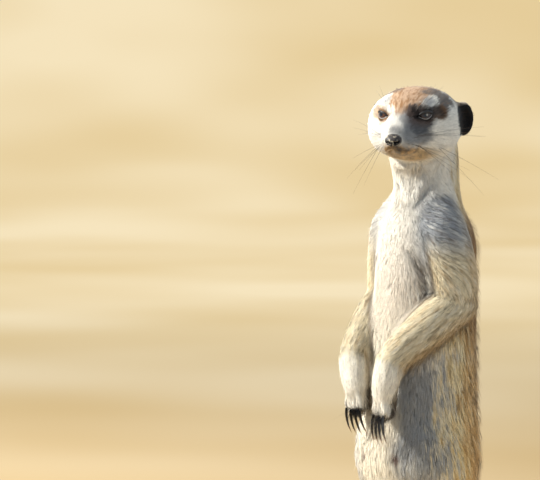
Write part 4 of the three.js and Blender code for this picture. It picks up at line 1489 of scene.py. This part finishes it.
class Tufts:
    """All roots of the coat, with the spine that each tuft follows over the skin."""

    def __init__(self, skin, seed):
        rng = np.random.default_rng(seed)
        crowd = grow_limits(skin)
        corners = skin.points[skin.triangles]
        edges = corners[:, 1:] - corners[:, :1]
        area = np.linalg.norm(np.cross(edges[:, 0], edges[:, 1]), axis=1) / 2 / (MM * MM)
        wanted = area * crowd[skin.triangles].mean(axis=1)
        wanted[(crowd[skin.triangles] == 0).any(axis=1)] = 0.0
        total = int(wanted.sum())
        self.face = np.sort(rng.choice(len(wanted), size=total, p=wanted / wanted.sum()))
        weights = rng.random((total, 2))
        over = weights.sum(axis=1) > 1
        weights[over] = 1 - weights[over]
        weights = np.column_stack([1 - weights.sum(axis=1), weights])[:, :, None]
        chosen_corners = skin.triangles[self.face]

        def at(values):
            picked = values[chosen_corners]
            return (picked * (weights if picked.ndim == 3 else weights[:, :, 0])).sum(axis=1)

        self.root = at(skin.points)
        self.normal = unit(at(skin.normals))
        self.part = skin.part[chosen_corners[:, 0]]
        rows = {name: at(values) for name, values in skin.rows.items()}
        lie = unit(at(skin.lie))
        self.colour = markings(self.root, self.normal, lie, at(skin.weights))
        places = to_head(self.root)
        close = np.maximum(eye_nearness(places), 1 - step(1.1, 2.2, outside_nose(places)))
        angle, height = around_trunk(self.root)
        on_trunk = np.isin(self.part, numbers_of("chest", "belly"))
        flank = step(58, 105, np.abs(angle)) * (1 - step(225, 245, height)) * on_trunk
        under = step(0.0, 0.8, -self.normal[:, 2]) * np.isin(self.part, numbers_of("forearm", "hand"))
        ends = claw_nearness(self.root) * np.isin(self.part, numbers_of("hand", "foot"))
        length = rows["length"] * (1 + 0.55 * flank + 0.3 * under) * (1 - 0.5 * close)
        length = length * (1 + ends * rng.uniform(0.1, 1.7, total))
        self.length = length * rng.uniform(0.75, 1.25, total) * MM
        self.width = rows["width"] * (1 - 0.25 * close) * rng.uniform(0.8, 1.2, total) * MM
        shag = np.clip(rows["shag"] * (1 + 0.8 * flank + 1.2 * under), 0, 1)
        self.lift = rows["depth"] * (1 - 0.6 * close) * (1 - shag * rng.random(total) ** 1.5)
        stray = rng.random(total) < 0.05 * shag + 0.07 * flank + 0.1 * under
        self.lift = np.where(stray, self.lift * 1.5 + 0.6 + 1.2 * flank, self.lift) * (1 + 0.5 * under) * MM
        lie = lie + rng.normal(0, 0.06 + 0.14 * shag[:, None], (total, 3)) + (0.5 * under)[:, None] * DOWN
        self.lie = flat_on(self.normal, lie)
        self.tick = rng.random(total) < rows["ticking"] * (1 + 5 * flank)
        self.shade = rng.normal(1.0, 0.03 + 0.05 * shag)
        hand = np.isin(self.part, numbers_of("hand"))
        gap, digit, behind, palmar = digit_places(self.root, self.part)
        palm = hand * step(0.5, 3.0, palmar) * (1 - step(10.0, 18.0, behind))
        self.lift += palm * rng.uniform(0.2, 2.0, total) * MM
        self.length *= 1 + 0.3 * palm + 1.0 * gap * ends - 0.5 * digit * ends
        self.free = np.clip(0.9 * ends + 0.6 * stray + 0.4 * palm, 0, 1)
        self.gather = chosen("coat").clumping * (0.1 + 1.1 * shag)
        self.follow(skin)
        self.clump(rng)

    def follow(self, skin):
        """Lays each spine along the skin: a middle and a tip, each lifted off it."""
        middle, face = skin.nearest(self.root + self.lie * (MIDDLE_ALONG * self.length)[:, None])
        normal = unit(skin.mean(skin.normals, face))
        lie = flat_on(normal, skin.mean(skin.lie, face) + self.lie)
        tip, face = skin.nearest(middle + lie * ((1 - MIDDLE_ALONG) * self.length)[:, None])
        tip_normal = unit(skin.mean(skin.normals, face))
        self.middle = middle + normal * (MIDDLE_LIFT * self.lift)[:, None]
        self.tip = tip + tip_normal * self.lift[:, None]
        straight = self.root + self.lie * self.length[:, None] + self.normal * self.lift[:, None]
        self.tip += (straight - self.tip) * self.free[:, None]
        self.start = self.root - self.normal * (ROOT_DEPTH * MM)

    def clump(self, rng):
        """Draws the tips of neighbouring tufts together into locks."""
        leaders = np.nonzero(rng.random(len(self.root)) < LEADERS)[0]
        tree = KDTree(len(leaders))
        for i, leader in enumerate(leaders.tolist()):
            tree.insert(self.root[leader], i)
        tree.balance()
        own = leaders[[tree.find(p)[1] for p in self.root.tolist()]]
        near = np.linalg.norm(self.root[own] - self.root, axis=1) < 0.8 * self.length
        pull = self.gather * near * rng.uniform(0.5, 1.1, len(self.root))
        self.middle += (self.middle[own] - self.middle) * (MIDDLE_PULL * pull)[:, None]
        self.tip += (self.tip[own] - self.tip) * (TIP_PULL * pull)[:, None]
        self.shade = self.shade * (1 + 0.8 * (self.shade[own] - 1))

    def mesh_rows(self, picked, material, name, flat):
        """The closed mesh of the picked tufts: a root, three corners round its middle, and a tip."""
        start, middle, tip = self.start[picked], self.middle[picked], self.tip[picked]
        normal, width = self.normal[picked], self.width[picked][:, None]
        across = unit(np.cross(normal, tip - start))
        aside = across * width / 2
        rows = [start, middle - aside, middle + aside, middle + normal * width * RIDGE, tip]
        count = len(rows)
        points = np.stack(rows, axis=1).reshape(-1, 3)
        points[:, 2] = np.maximum(points[:, 2], 0.02 * MM)
        faces = (TUFT_FACES[None] + (np.arange(len(picked)) * count)[:, None, None]).reshape(-1, 3)
        piece = mesh_object(name, points, faces, material)
        leans = np.stack([normal, normal - 0.45 * across, normal + 0.45 * across, normal, normal], axis=1)
        piece.data.normals_split_custom_set_from_vertices(unit(leans.reshape(-1, 3)).tolist())
        tint = self.colour[picked] * self.shade[picked][:, None]
        dark = mix(tint * 0.45, np.array(srgb("#3b3029")), 0.4)
        tint = np.where(self.tick[picked][:, None], dark, tint)
        colours = np.clip(tint[:, None, :] * np.array(ROOT_TO_TIP)[None, :, None], 0, 1).reshape(-1, 3)
        paint(piece.data, colours)
        patch = flat[:, None, :] + np.array(PATCH)[None] * (PATCH_SIZE / 2)
        layer = piece.data.uv_layers.new(name=BAKE_MAP)
        layer.data.foreach_set("uv", patch.reshape(-1, 2)[faces.ravel()].astype(np.float32).ravel())
        return piece


class MEERKAT_OT_coat(bpy.types.Operator):
    """Grows the coat: thin closed tufts that lie along the body"""

    bl_idname = "meerkat.coat"
    bl_label = "Coat"

    def execute(self, context):
        skin = Skin()
        tufts = Tufts(skin, COAT_SEED)
        material = hair_material()
        midline = to_head(tufts.root)[:, 0]
        total = 0
        for name, parts, half, slot in COAT_PIECES:
            numbers = numbers_of(*parts)
            here = np.isin(tufts.part, numbers)
            if half:
                offset = midline if parts == ("head",) else tufts.root[:, 0] - trunk_axis()[0]
                here &= (offset >= 0) if half > 0 else (offset < 0)
            picked = np.nonzero(here)[0]
            triangles = len(picked) * len(TUFT_FACES)
            if triangles > MOST_TRIANGLES:
                raise RuntimeError(f"{name} has {triangles} triangles")
            tile = np.searchsorted(numbers, tufts.part[picked])
            flat = unwrap_roots(tufts.root[picked], tufts.part[picked])
            flat = spread_map(flat, tile, len(numbers))
            settle(tufts.mesh_rows(picked, material, name, flat), slot)
            total += triangles
            print(f"{name}: {len(picked)} tufts, {triangles} triangles")
        print(f"coat: {total} triangles")
        return {"FINISHED"}


# -------- eyes, lids, nose, claws, whiskers


def ball(rows, columns):
    """Points and faces of a unit sphere about Z."""
    points = [(0.0, 0.0, 1.0)]
    for i in range(1, rows):
        polar = math.pi * i / rows
        for j in range(columns):
            turn = 2 * math.pi * j / columns
            wide = math.sin(polar)
            points.append((wide * math.cos(turn), wide * math.sin(turn), math.cos(polar)))
    points.append((0.0, 0.0, -1.0))
    faces = []
    for j in range(columns):
        k = (j + 1) % columns
        faces.append((0, 1 + j, 1 + k))
        for i in range(rows - 2):
            a, b = 1 + i * columns, 1 + (i + 1) * columns
            faces.append((a + j, b + j, b + k))
            faces.append((a + j, b + k, a + k))
        low = 1 + (rows - 2) * columns
        faces.append((low + j, len(points) - 1, low + k))
    return np.array(points), np.array(faces)


# Painted light and shade: the left iris darker, as in shade, and the right one brighter, as in sunlight.
IRIS_PAINTED_LIGHT = {"left": 0.55, "right": 1.5}
EYEBALL_ROOM = 0.1  # how far the eyeball stays inside its solid, in mm
# How far the cornea bulges in mm, and between which degrees from the gaze it ends.
CORNEA, CORNEA_EDGE = 0.28, (20, 46)


class MEERKAT_OT_eyes(bpy.types.Operator):
    """Makes the eyeballs, with a bulging cornea over the iris"""

    bl_idname = "meerkat.eyes"
    bl_label = "Eyes"

    def execute(self, context):
        iris = chosen("colours").iris
        for side, sign in (("left", 1), ("right", -1)):
            material = eye_material([colour * IRIS_PAINTED_LIGHT[side] for colour in iris])
            centre, level, over, gaze = eye_frame(sign)
            points, faces = ball(48, 64)
            polar = np.degrees(np.arccos(np.clip(points[:, 2], -1, 1)))
            radius = EYE_RADIUS - EYEBALL_ROOM + CORNEA * (1 - step(*CORNEA_EDGE, polar))
            points *= radius[:, None] * MM
            piece = mesh_object(f"eyeball_{side}", points, faces, material)
            axes = np.array([level * sign, over, gaze]) @ HEAD_AXES
            turn = Matrix(axes.tolist()).transposed().to_4x4()
            piece.matrix_world = Matrix.Translation(Vector(from_head(centre))) @ turn
            settle(piece, "eye", f"eye_{side}")
        return {"FINISHED"}


def rim_path(sign, upper, steps=28):
    """The eye's middle, rays from it to places along a lid margin, and how far along they are, -1 to 1."""
    centre, level, over, gaze = eye_frame(sign)
    t = np.linspace(-1.0, 1.0, steps)
    tall = OPENING_OVER if upper else -OPENING_UNDER
    across = np.radians(t * OPENING_WIDE)
    height = np.radians(tall * (1 - np.abs(t) ** OPENING_CURVE))
    ray = gaze + np.tan(across)[:, None] * level + np.tan(height)[:, None] * over
    return centre, unit(ray), t


def tube(path, radii, sides=10):
    """A closed tube along a path with a radius at each place."""
    tangent = unit(np.gradient(path, axis=0))
    guide = unit(np.cross(tangent, path - path.mean(axis=0)))
    other = np.cross(tangent, guide)
    turns = np.linspace(0, 2 * math.pi, sides, endpoint=False)
    rings = [
        path + (np.cos(a) * guide + np.sin(a) * other) * np.asarray(radii)[:, None] for a in turns
    ]
    points = np.stack(rings, axis=1).reshape(-1, 3)
    faces = []
    for i in range(len(path) - 1):
        for j in range(sides):
            k = (j + 1) % sides
            a, b = i * sides, (i + 1) * sides
            faces += [(a + j, b + k, b + j), (a + j, a + k, b + k)]
    points = np.vstack([points, path[:1], path[-1:]])
    first, last = len(points) - 2, len(points) - 1
    end = (len(path) - 1) * sides
    for j in range(sides):
        k = (j + 1) % sides
        faces += [(first, k, j), (last, end + j, end + k)]
    return points, np.array(faces)


# Radius of the lid margins at their middle, and how far over the eyeball it lies, in mm.
UPPER_MARGIN, LOWER_MARGIN = {"left": 0.85, "right": 0.6}, 0.3
UPPER_OVER, LOWER_OVER = 0.25, 0.18


class MEERKAT_OT_lid_margins(bpy.types.Operator):
    """Makes the bare lid margins: dark above, pale below"""

    bl_idname = "meerkat.lid_margins"
    bl_label = "Lid margins"

    def execute(self, context):
        dark = lid_material("Upper lid margin, moist skin", "#140f0d", 0.05)
        pale = lid_material("Lower lid margin, moist skin", "#7d7873")
        for side, sign in (("left", 1), ("right", -1)):
            for upper in (True, False):
                centre, ray, t = rim_path(sign, upper)
                widest = UPPER_MARGIN[side] if upper else LOWER_MARGIN
                thick = widest * np.sqrt(np.maximum(1 - (np.abs(t) * 0.97) ** 4, 0.02))
                reach = EYE_RADIUS + (UPPER_OVER if upper else LOWER_OVER)
                points, faces = tube(from_head(centre + ray * reach), thick * MM)
                name = f"{'upper' if upper else 'lower'}_lid_margin_{side}"
                settle(mesh_object(name, points, faces, dark if upper else pale), "eye")
        return {"FINISHED"}


NOSTRIL = ((1.75, -4, -0.5), (2.7, -4, -0.9), (3.9, -2.5, 0.2))  # its middle line on the left, in mm
NOSTRIL_DEPTH = 2.0
NOSE_TILT = math.radians(12)


class MEERKAT_OT_nose(bpy.types.Operator):
    """Makes the nose leather, with its nostrils and the groove between them"""

    bl_idname = "meerkat.nose"
    bl_label = "Nose"

    def execute(self, context):
        points, faces = ball(72, 96)
        points = points[:, [0, 2, 1]] * (1, -1, 1)
        shape = np.sign(points) * np.abs(points) ** 0.9
        shape = shape * np.array(NOSE_HALF)
        side, back, up = shape.T
        front = step(0.5, -1.5, back)
        fold = -0.45 * np.exp(-((side / 0.38) ** 2)) * (1 - step(0.2, 1.8, up))
        hole = np.zeros(len(shape))
        for sign in (1, -1):
            gap, along = near_line(shape, np.array(NOSTRIL) * (sign, 1, 1))
            size = mix(0.85, 0.4, along)
            hole = np.maximum(hole, np.exp(-((gap / size) ** 4)) * (1 - 0.5 * along))
        ray = unit(shape)
        shape = shape + ray * (fold * front)[:, None]
        shape = shape - (ray * 0.4 + np.array((0, -0.6, 0))) * (NOSTRIL_DEPTH * hole * front)[:, None]
        shape[:, 1] += 2.4 * hole * front
        # Painted shade: the nostrils near black and the groove between them darker.
        shade = mix(plain(srgb("#2f2825"), shape), srgb("#060404"), np.clip(1.3 * hole * front, 0, 1))
        shade = mix(shade, srgb("#241d1b"), np.clip(-fold * front * 1.5, 0, 1))
        level, rise = math.cos(NOSE_TILT), math.sin(NOSE_TILT)
        turn = np.array(((1, 0, 0), (0, level, -rise), (0, rise, level)))
        places = shape @ turn.T + PAD_MIDDLE
        piece = mesh_object("nose_leather", from_head(places), faces[:, ::-1], nose_material())
        paint(piece.data, shade)
        settle(piece, "nose", "nose")
        return {"FINISHED"}


CLAW_SWELL, CLAW_TRIM = 0.1 * MM, 0.3 * MM  # before and after the solid is rounded


class MEERKAT_OT_claws(bpy.types.Operator):
    """Rounds the claws and gives them horn that pales towards the point"""

    bl_idname = "meerkat.claws"
    bl_label = "Claws"

    def execute(self, context):
        material = horn_material()
        dark, tip = np.array(srgb("#15110f")), np.array(srgb("#a9805c"))
        for claw in CLAWS:
            rounded = modified(joined_solids([claw], CLAW_SWELL), "SUBSURF", levels=2)
            outward = unit(vectors_of(rounded.vertices, "normal"))
            points = vectors_of(rounded.vertices, "co") - outward * CLAW_TRIM
            if "hand" in claw:
                number = FLESH.index(claw.replace("claw_", "")[:-2])
                points = slimmed(spread_digits(points, number), number)
            rounded.vertices.foreach_set("co", points.ravel())
            rounded.polygons.foreach_set("use_smooth", np.ones(len(rounded.polygons), dtype=bool))
            parts = claw.split("_")
            limb = node_centre(f"{parts[1]}_{parts[2]}")
            along = np.linalg.norm(points - limb, axis=1)
            along = (along - along.min()) / (along.max() - along.min())
            paint(rounded, mix(plain(dark, points), tip, 0.9 * step(0.66, 0.98, along)))
            rounded.materials.clear()
            rounded.materials.append(material)
            piece = bpy.data.objects.new(claw.replace("claw", "claw_horn"), rounded)
            context.scene.collection.objects.link(piece)
            settle(piece, "claw", claw)
        return {"FINISHED"}


# Whiskers: where the first of a group grows, in head places, the step to the next, how many, the
# direction of the first and the last, and their length as a share of the longest.
WHISKERS = (
    ((8.4, 11.0, -1.6), (0.7, 3.6, 0.3), 4, (0.58, 0.80, 0.12), (0.52, 0.84, -0.06), 1.0),
    ((6.8, 9.0, -4.2), (0.9, 3.4, -0.5), 4, (0.62, 0.70, -0.26), (0.50, 0.66, -0.55), 0.8),
    ((9.8, 28.0, 16.5), (0.8, 0.8, 0.0), 2, (0.30, 0.30, 0.62), (0.42, 0.36, 0.50), 0.3),
    ((16.0, 34.0, -8.0), (0.3, 1.6, -0.6), 2, (0.55, 0.66, -0.45), (0.50, 0.60, -0.62), 0.85),
)


WHISKER_RADII = (0.10, 0.025)  # at the root and the tip, in mm
WHISKER_SAG = 0.06  # as a share of the length


class MEERKAT_OT_whiskers(bpy.types.Operator):
    """Adds the whiskers of the muzzle, brow and cheek as thin tapering solids"""

    bl_idname = "meerkat.whiskers"
    bl_label = "Whiskers"

    def execute(self, context):
        skin = Skin()
        rng = np.random.default_rng(WHISKER_SEED)
        longest = chosen("coat").whisker / MM
        points, faces, colours = [], [], []
        count = 0
        for place, gap, number, first, last, share in WHISKERS:
            for k in range(number):
                for sign in (1, -1):
                    t = k / max(1, number - 1)
                    root = np.array(place) + np.array(gap) * k
                    aim = unit(mix(np.array(first), np.array(last), t) + rng.normal(0, 0.04, 3))
                    length = longest * share * rng.uniform(0.75, 1.0)
                    root, aim = root * (sign, 1, 1), aim * (sign, 1, 1)
                    start, _ = skin.nearest(from_head(root)[None])
                    start = to_head(start)[0]
                    s = np.linspace(0, 1, 12)[:, None]
                    path = start + aim * length * s + DOWN * (WHISKER_SAG * length) * s * s
                    ring, face = tube(from_head(path), mix(*WHISKER_RADII, s[:, 0]) * MM, sides=5)
                    points.append(ring)
                    faces.append(face + count)
                    count += len(ring)
                    towards_tip = np.linspace(0, 1, len(ring))
                    colours.append(mix(plain(srgb("#2a211c"), ring), srgb("#6b5a48"), towards_tip))
        piece = mesh_object("whiskers", np.vstack(points), np.vstack(faces), whisker_material())
        paint(piece.data, np.vstack(colours))
        settle(piece, "coat")
        return {"FINISHED"}


# -------- stage


NEAR_FLOOR, FLOOR_REACH, WALL_REACH, WALL_HEIGHT = 0.45, 3.2, 6.2, 5.0  # all in metres


def cyclorama(first, last, steps):
    """Profile of the floor and the wall that it curves up into, as radius and height."""
    bend = WALL_REACH - FLOOR_REACH
    profile = []
    for i in range(steps + 1):
        t = first + (last - first) * i / steps
        if t <= 1:
            profile.append((FLOOR_REACH * t, 0.0))
        elif t <= 2:
            turn = (t - 1) * math.pi / 2
            profile.append((FLOOR_REACH + bend * math.sin(turn), bend * (1 - math.cos(turn))))
        else:
            profile.append((WALL_REACH, bend + (t - 2) * WALL_HEIGHT))
    return profile


def turned_sheet(name, profile, material, sides=96):
    """A sheet from a profile turned about the animal."""
    centre = trunk_axis()
    points, faces = [], []
    for radius, height in profile:
        for j in range(sides):
            turn = 2 * math.pi * j / sides
            x, y = centre[0] + radius * math.cos(turn), centre[1] + radius * math.sin(turn)
            points.append((x, y, height))
    for i in range(len(profile) - 1):
        for j in range(sides):
            k = (j + 1) % sides
            faces.append((i * sides + j, i * sides + k, (i + 1) * sides + k, (i + 1) * sides + j))
    piece = mesh_object(name, np.array(points), faces, material)
    return piece


def paper_material():
    """Backdrop paper: uncoated, rolled out flat. Quite matt and faintly cloudy, and lit up far off."""
    material, tree = new_material("Backdrop paper, uncoated")
    place = add_node(tree, "ShaderNodeTexCoord")
    # Paper fibre is far too fine to show, so it is drawn as faint clouds of 420 mm.
    fibre = add_node(
        tree, "ShaderNodeTexNoise", {"Vector": (place, "Object"), "Scale": per_mm(420), "Detail": 1.0}
    )
    tone = add_node(tree, "ShaderNodeValToRGB", {"Fac": (fibre, "Fac")})
    tone.color_ramp.elements[0].position, tone.color_ramp.elements[1].position = 0.3, 0.7
    tone.color_ramp.elements[0].color = (*srgb("#e5cc99"), 1.0)
    tone.color_ramp.elements[1].color = (*srgb("#f5e3bc"), 1.0)
    flat = add_node(
        tree, "ShaderNodeVectorMath", {0: (place, "Object"), 1: (1.0, 1.0, 0.0)}, operation="MULTIPLY"
    )
    radius = add_node(tree, "ShaderNodeVectorMath", {0: (flat, "Vector")}, operation="LENGTH")
    glow = add_node(
        tree, "ShaderNodeMapRange",
        {"Value": (radius, "Value"), "From Min": 0.3, "From Max": 2.4},
        interpolation_type="SMOOTHSTEP",
    )
    left = add_node(
        tree, "ShaderNodeMapRange", {"Value": (glow, "Result"), "To Min": 0.52, "To Max": 0.0}
    )
    lit = add_node(
        tree, "ShaderNodeVectorMath", {0: (tone, "Color"), "Scale": (left, "Result")}, operation="SCALE"
    )
    warm = add_node(
        tree, "ShaderNodeVectorMath", {0: (lit, "Vector"), 1: (1.06, 0.95, 0.84)}, operation="MULTIPLY"
    )
    finish_material(tree, {
        "Base Color": (warm, "Vector"), "Roughness": 0.95, "Specular IOR Level": 0.1,
        "Emission Color": (tone, "Color"), "Emission Strength": (glow, "Result"),
    })
    return material


def area_light(name, place, aim, size, power, colour):
    """A round soft lamp."""
    light = bpy.data.lights.new(name, "AREA")
    light.shape, light.size, light.energy, light.color = "DISK", size, power, colour
    lamp = bpy.data.objects.new(name, light)
    lamp.location = place
    lamp.rotation_mode = "QUATERNION"
    lamp.rotation_quaternion = (Vector(aim) - Vector(place)).to_track_quat("-Z", "Y")
    bpy.context.scene.collection.objects.link(lamp)


def bearing(azimuth, elevation):
    """Direction from the animal to something at this azimuth and elevation."""
    return Vector((
        math.sin(azimuth) * math.cos(elevation), -math.cos(azimuth) * math.cos(elevation),
        math.sin(elevation),
    ))


# Lamps: degrees from the camera's azimuth and over the horizon, size in metres, and colour.
LAMP_DISTANCE = 2.0
KEY_TURN, KEY_RISE, KEY_SIZE, KEY_COLOUR = -88, 36, 0.22, (1.0, 0.96, 0.88)
FILL_TURN, FILL_RISE, FILL_SIZE, FILL_COLOUR = 52, 4, 0.8, (1.0, 0.90, 0.74)
FILL_POWER, FILL_DROP = 7.0, Vector((0, 0, 0.1))
SKY_COLOUR = (0.76, 0.88, 1.0, 1.0)
AIM_LEFT, AIM_ABOVE = 0.0880, 0.0142  # from the middle of the chest to the middle of the view, in metres


class MEERKAT_OT_stage(bpy.types.Operator):
    """Sets the pale floor and backdrop, the soft lights and the camera"""

    bl_idname = "meerkat.stage"
    bl_label = "Stage"

    def execute(self, context):
        stage = chosen("stage")
        scene = context.scene
        scene.view_settings.view_transform = "Standard"
        paper = paper_material()
        turned_sheet("floor", cyclorama(0.0, NEAR_FLOOR / FLOOR_REACH, 2), paper)
        wall = turned_sheet("backdrop", cyclorama(NEAR_FLOOR / FLOOR_REACH, 3.0, 46), paper)
        wall.visible_diffuse = wall.visible_glossy = False
        world = bpy.data.worlds.new("soft sky")
        scene.world = world
        world.use_nodes = True
        back = world.node_tree.nodes["Background"]
        back.inputs["Color"].default_value = SKY_COLOUR
        back.inputs["Strength"].default_value = stage.sky
        body = Vector(node_centre("chest"))
        towards = bearing(stage.azimuth, stage.elevation)
        right = Vector((math.cos(stage.azimuth), math.sin(stage.azimuth), 0.0))
        above = towards.cross(right)
        key_way = bearing(stage.azimuth + math.radians(KEY_TURN), math.radians(KEY_RISE))
        area_light("key", body + key_way * LAMP_DISTANCE, body, KEY_SIZE, stage.key, KEY_COLOUR)
        fill_way = bearing(stage.azimuth + math.radians(FILL_TURN), math.radians(FILL_RISE))
        fill_at = body + fill_way * LAMP_DISTANCE
        area_light("fill", fill_at, body - FILL_DROP, FILL_SIZE, FILL_POWER, FILL_COLOUR)
        camera = bpy.data.cameras.new("camera")
        camera.sensor_width = 36.0
        camera.lens = camera.sensor_width * stage.distance / stage.width
        eye = bpy.data.objects.new("camera", camera)
        aim = body - right * AIM_LEFT + above * AIM_ABOVE
        eye.location = aim + towards * stage.distance
        eye.rotation_mode = "QUATERNION"
        eye.rotation_quaternion = (-towards).to_track_quat("-Z", "Y")
        camera.clip_start, camera.clip_end = 0.1, 50.0
        scene.collection.objects.link(eye)
        scene.camera = eye
        return {"FINISHED"}


# -------- panel and registration


STEPS = (
    MEERKAT_OT_skin, MEERKAT_OT_eyes, MEERKAT_OT_lid_margins, MEERKAT_OT_nose, MEERKAT_OT_claws,
    MEERKAT_OT_coat, MEERKAT_OT_whiskers, MEERKAT_OT_stage,
)
SETTINGS = {"coat": MeerkatCoatSettings, "colours": MeerkatColourSettings, "stage": MeerkatStageSettings}


class MEERKAT_PT_panel(bpy.types.Panel):
    """Lists the meerkat's pieces and their settings"""

    bl_idname = "MEERKAT_PT_panel"
    bl_label = "Meerkat"
    bl_space_type = "VIEW_3D"
    bl_region_type = "UI"
    bl_category = "Meerkat"

    def draw(self, context):
        for operator in STEPS:
            self.layout.operator(operator.bl_idname)
        for kind in SETTINGS:
            box = self.layout.box()
            for name in SETTINGS[kind].__annotations__:
                box.prop(getattr(context.scene, f"meerkat_{kind}"), name)


def register():
    for settings in SETTINGS.values():
        bpy.utils.register_class(settings)
    for kind, settings in SETTINGS.items():
        setattr(bpy.types.Scene, f"meerkat_{kind}", bpy.props.PointerProperty(type=settings))
    for item in (*STEPS, MEERKAT_PT_panel):
        bpy.utils.register_class(item)


def unregister():
    for item in reversed((*STEPS, MEERKAT_PT_panel)):
        bpy.utils.unregister_class(item)
    for kind in SETTINGS:
        delattr(bpy.types.Scene, f"meerkat_{kind}")
    for settings in reversed(SETTINGS.values()):
        bpy.utils.unregister_class(settings)


def main():
    register()
    for operator in STEPS:
        getattr(bpy.ops.meerkat, operator.bl_idname.split(".")[1])()


if __name__ == "__main__":
    main()
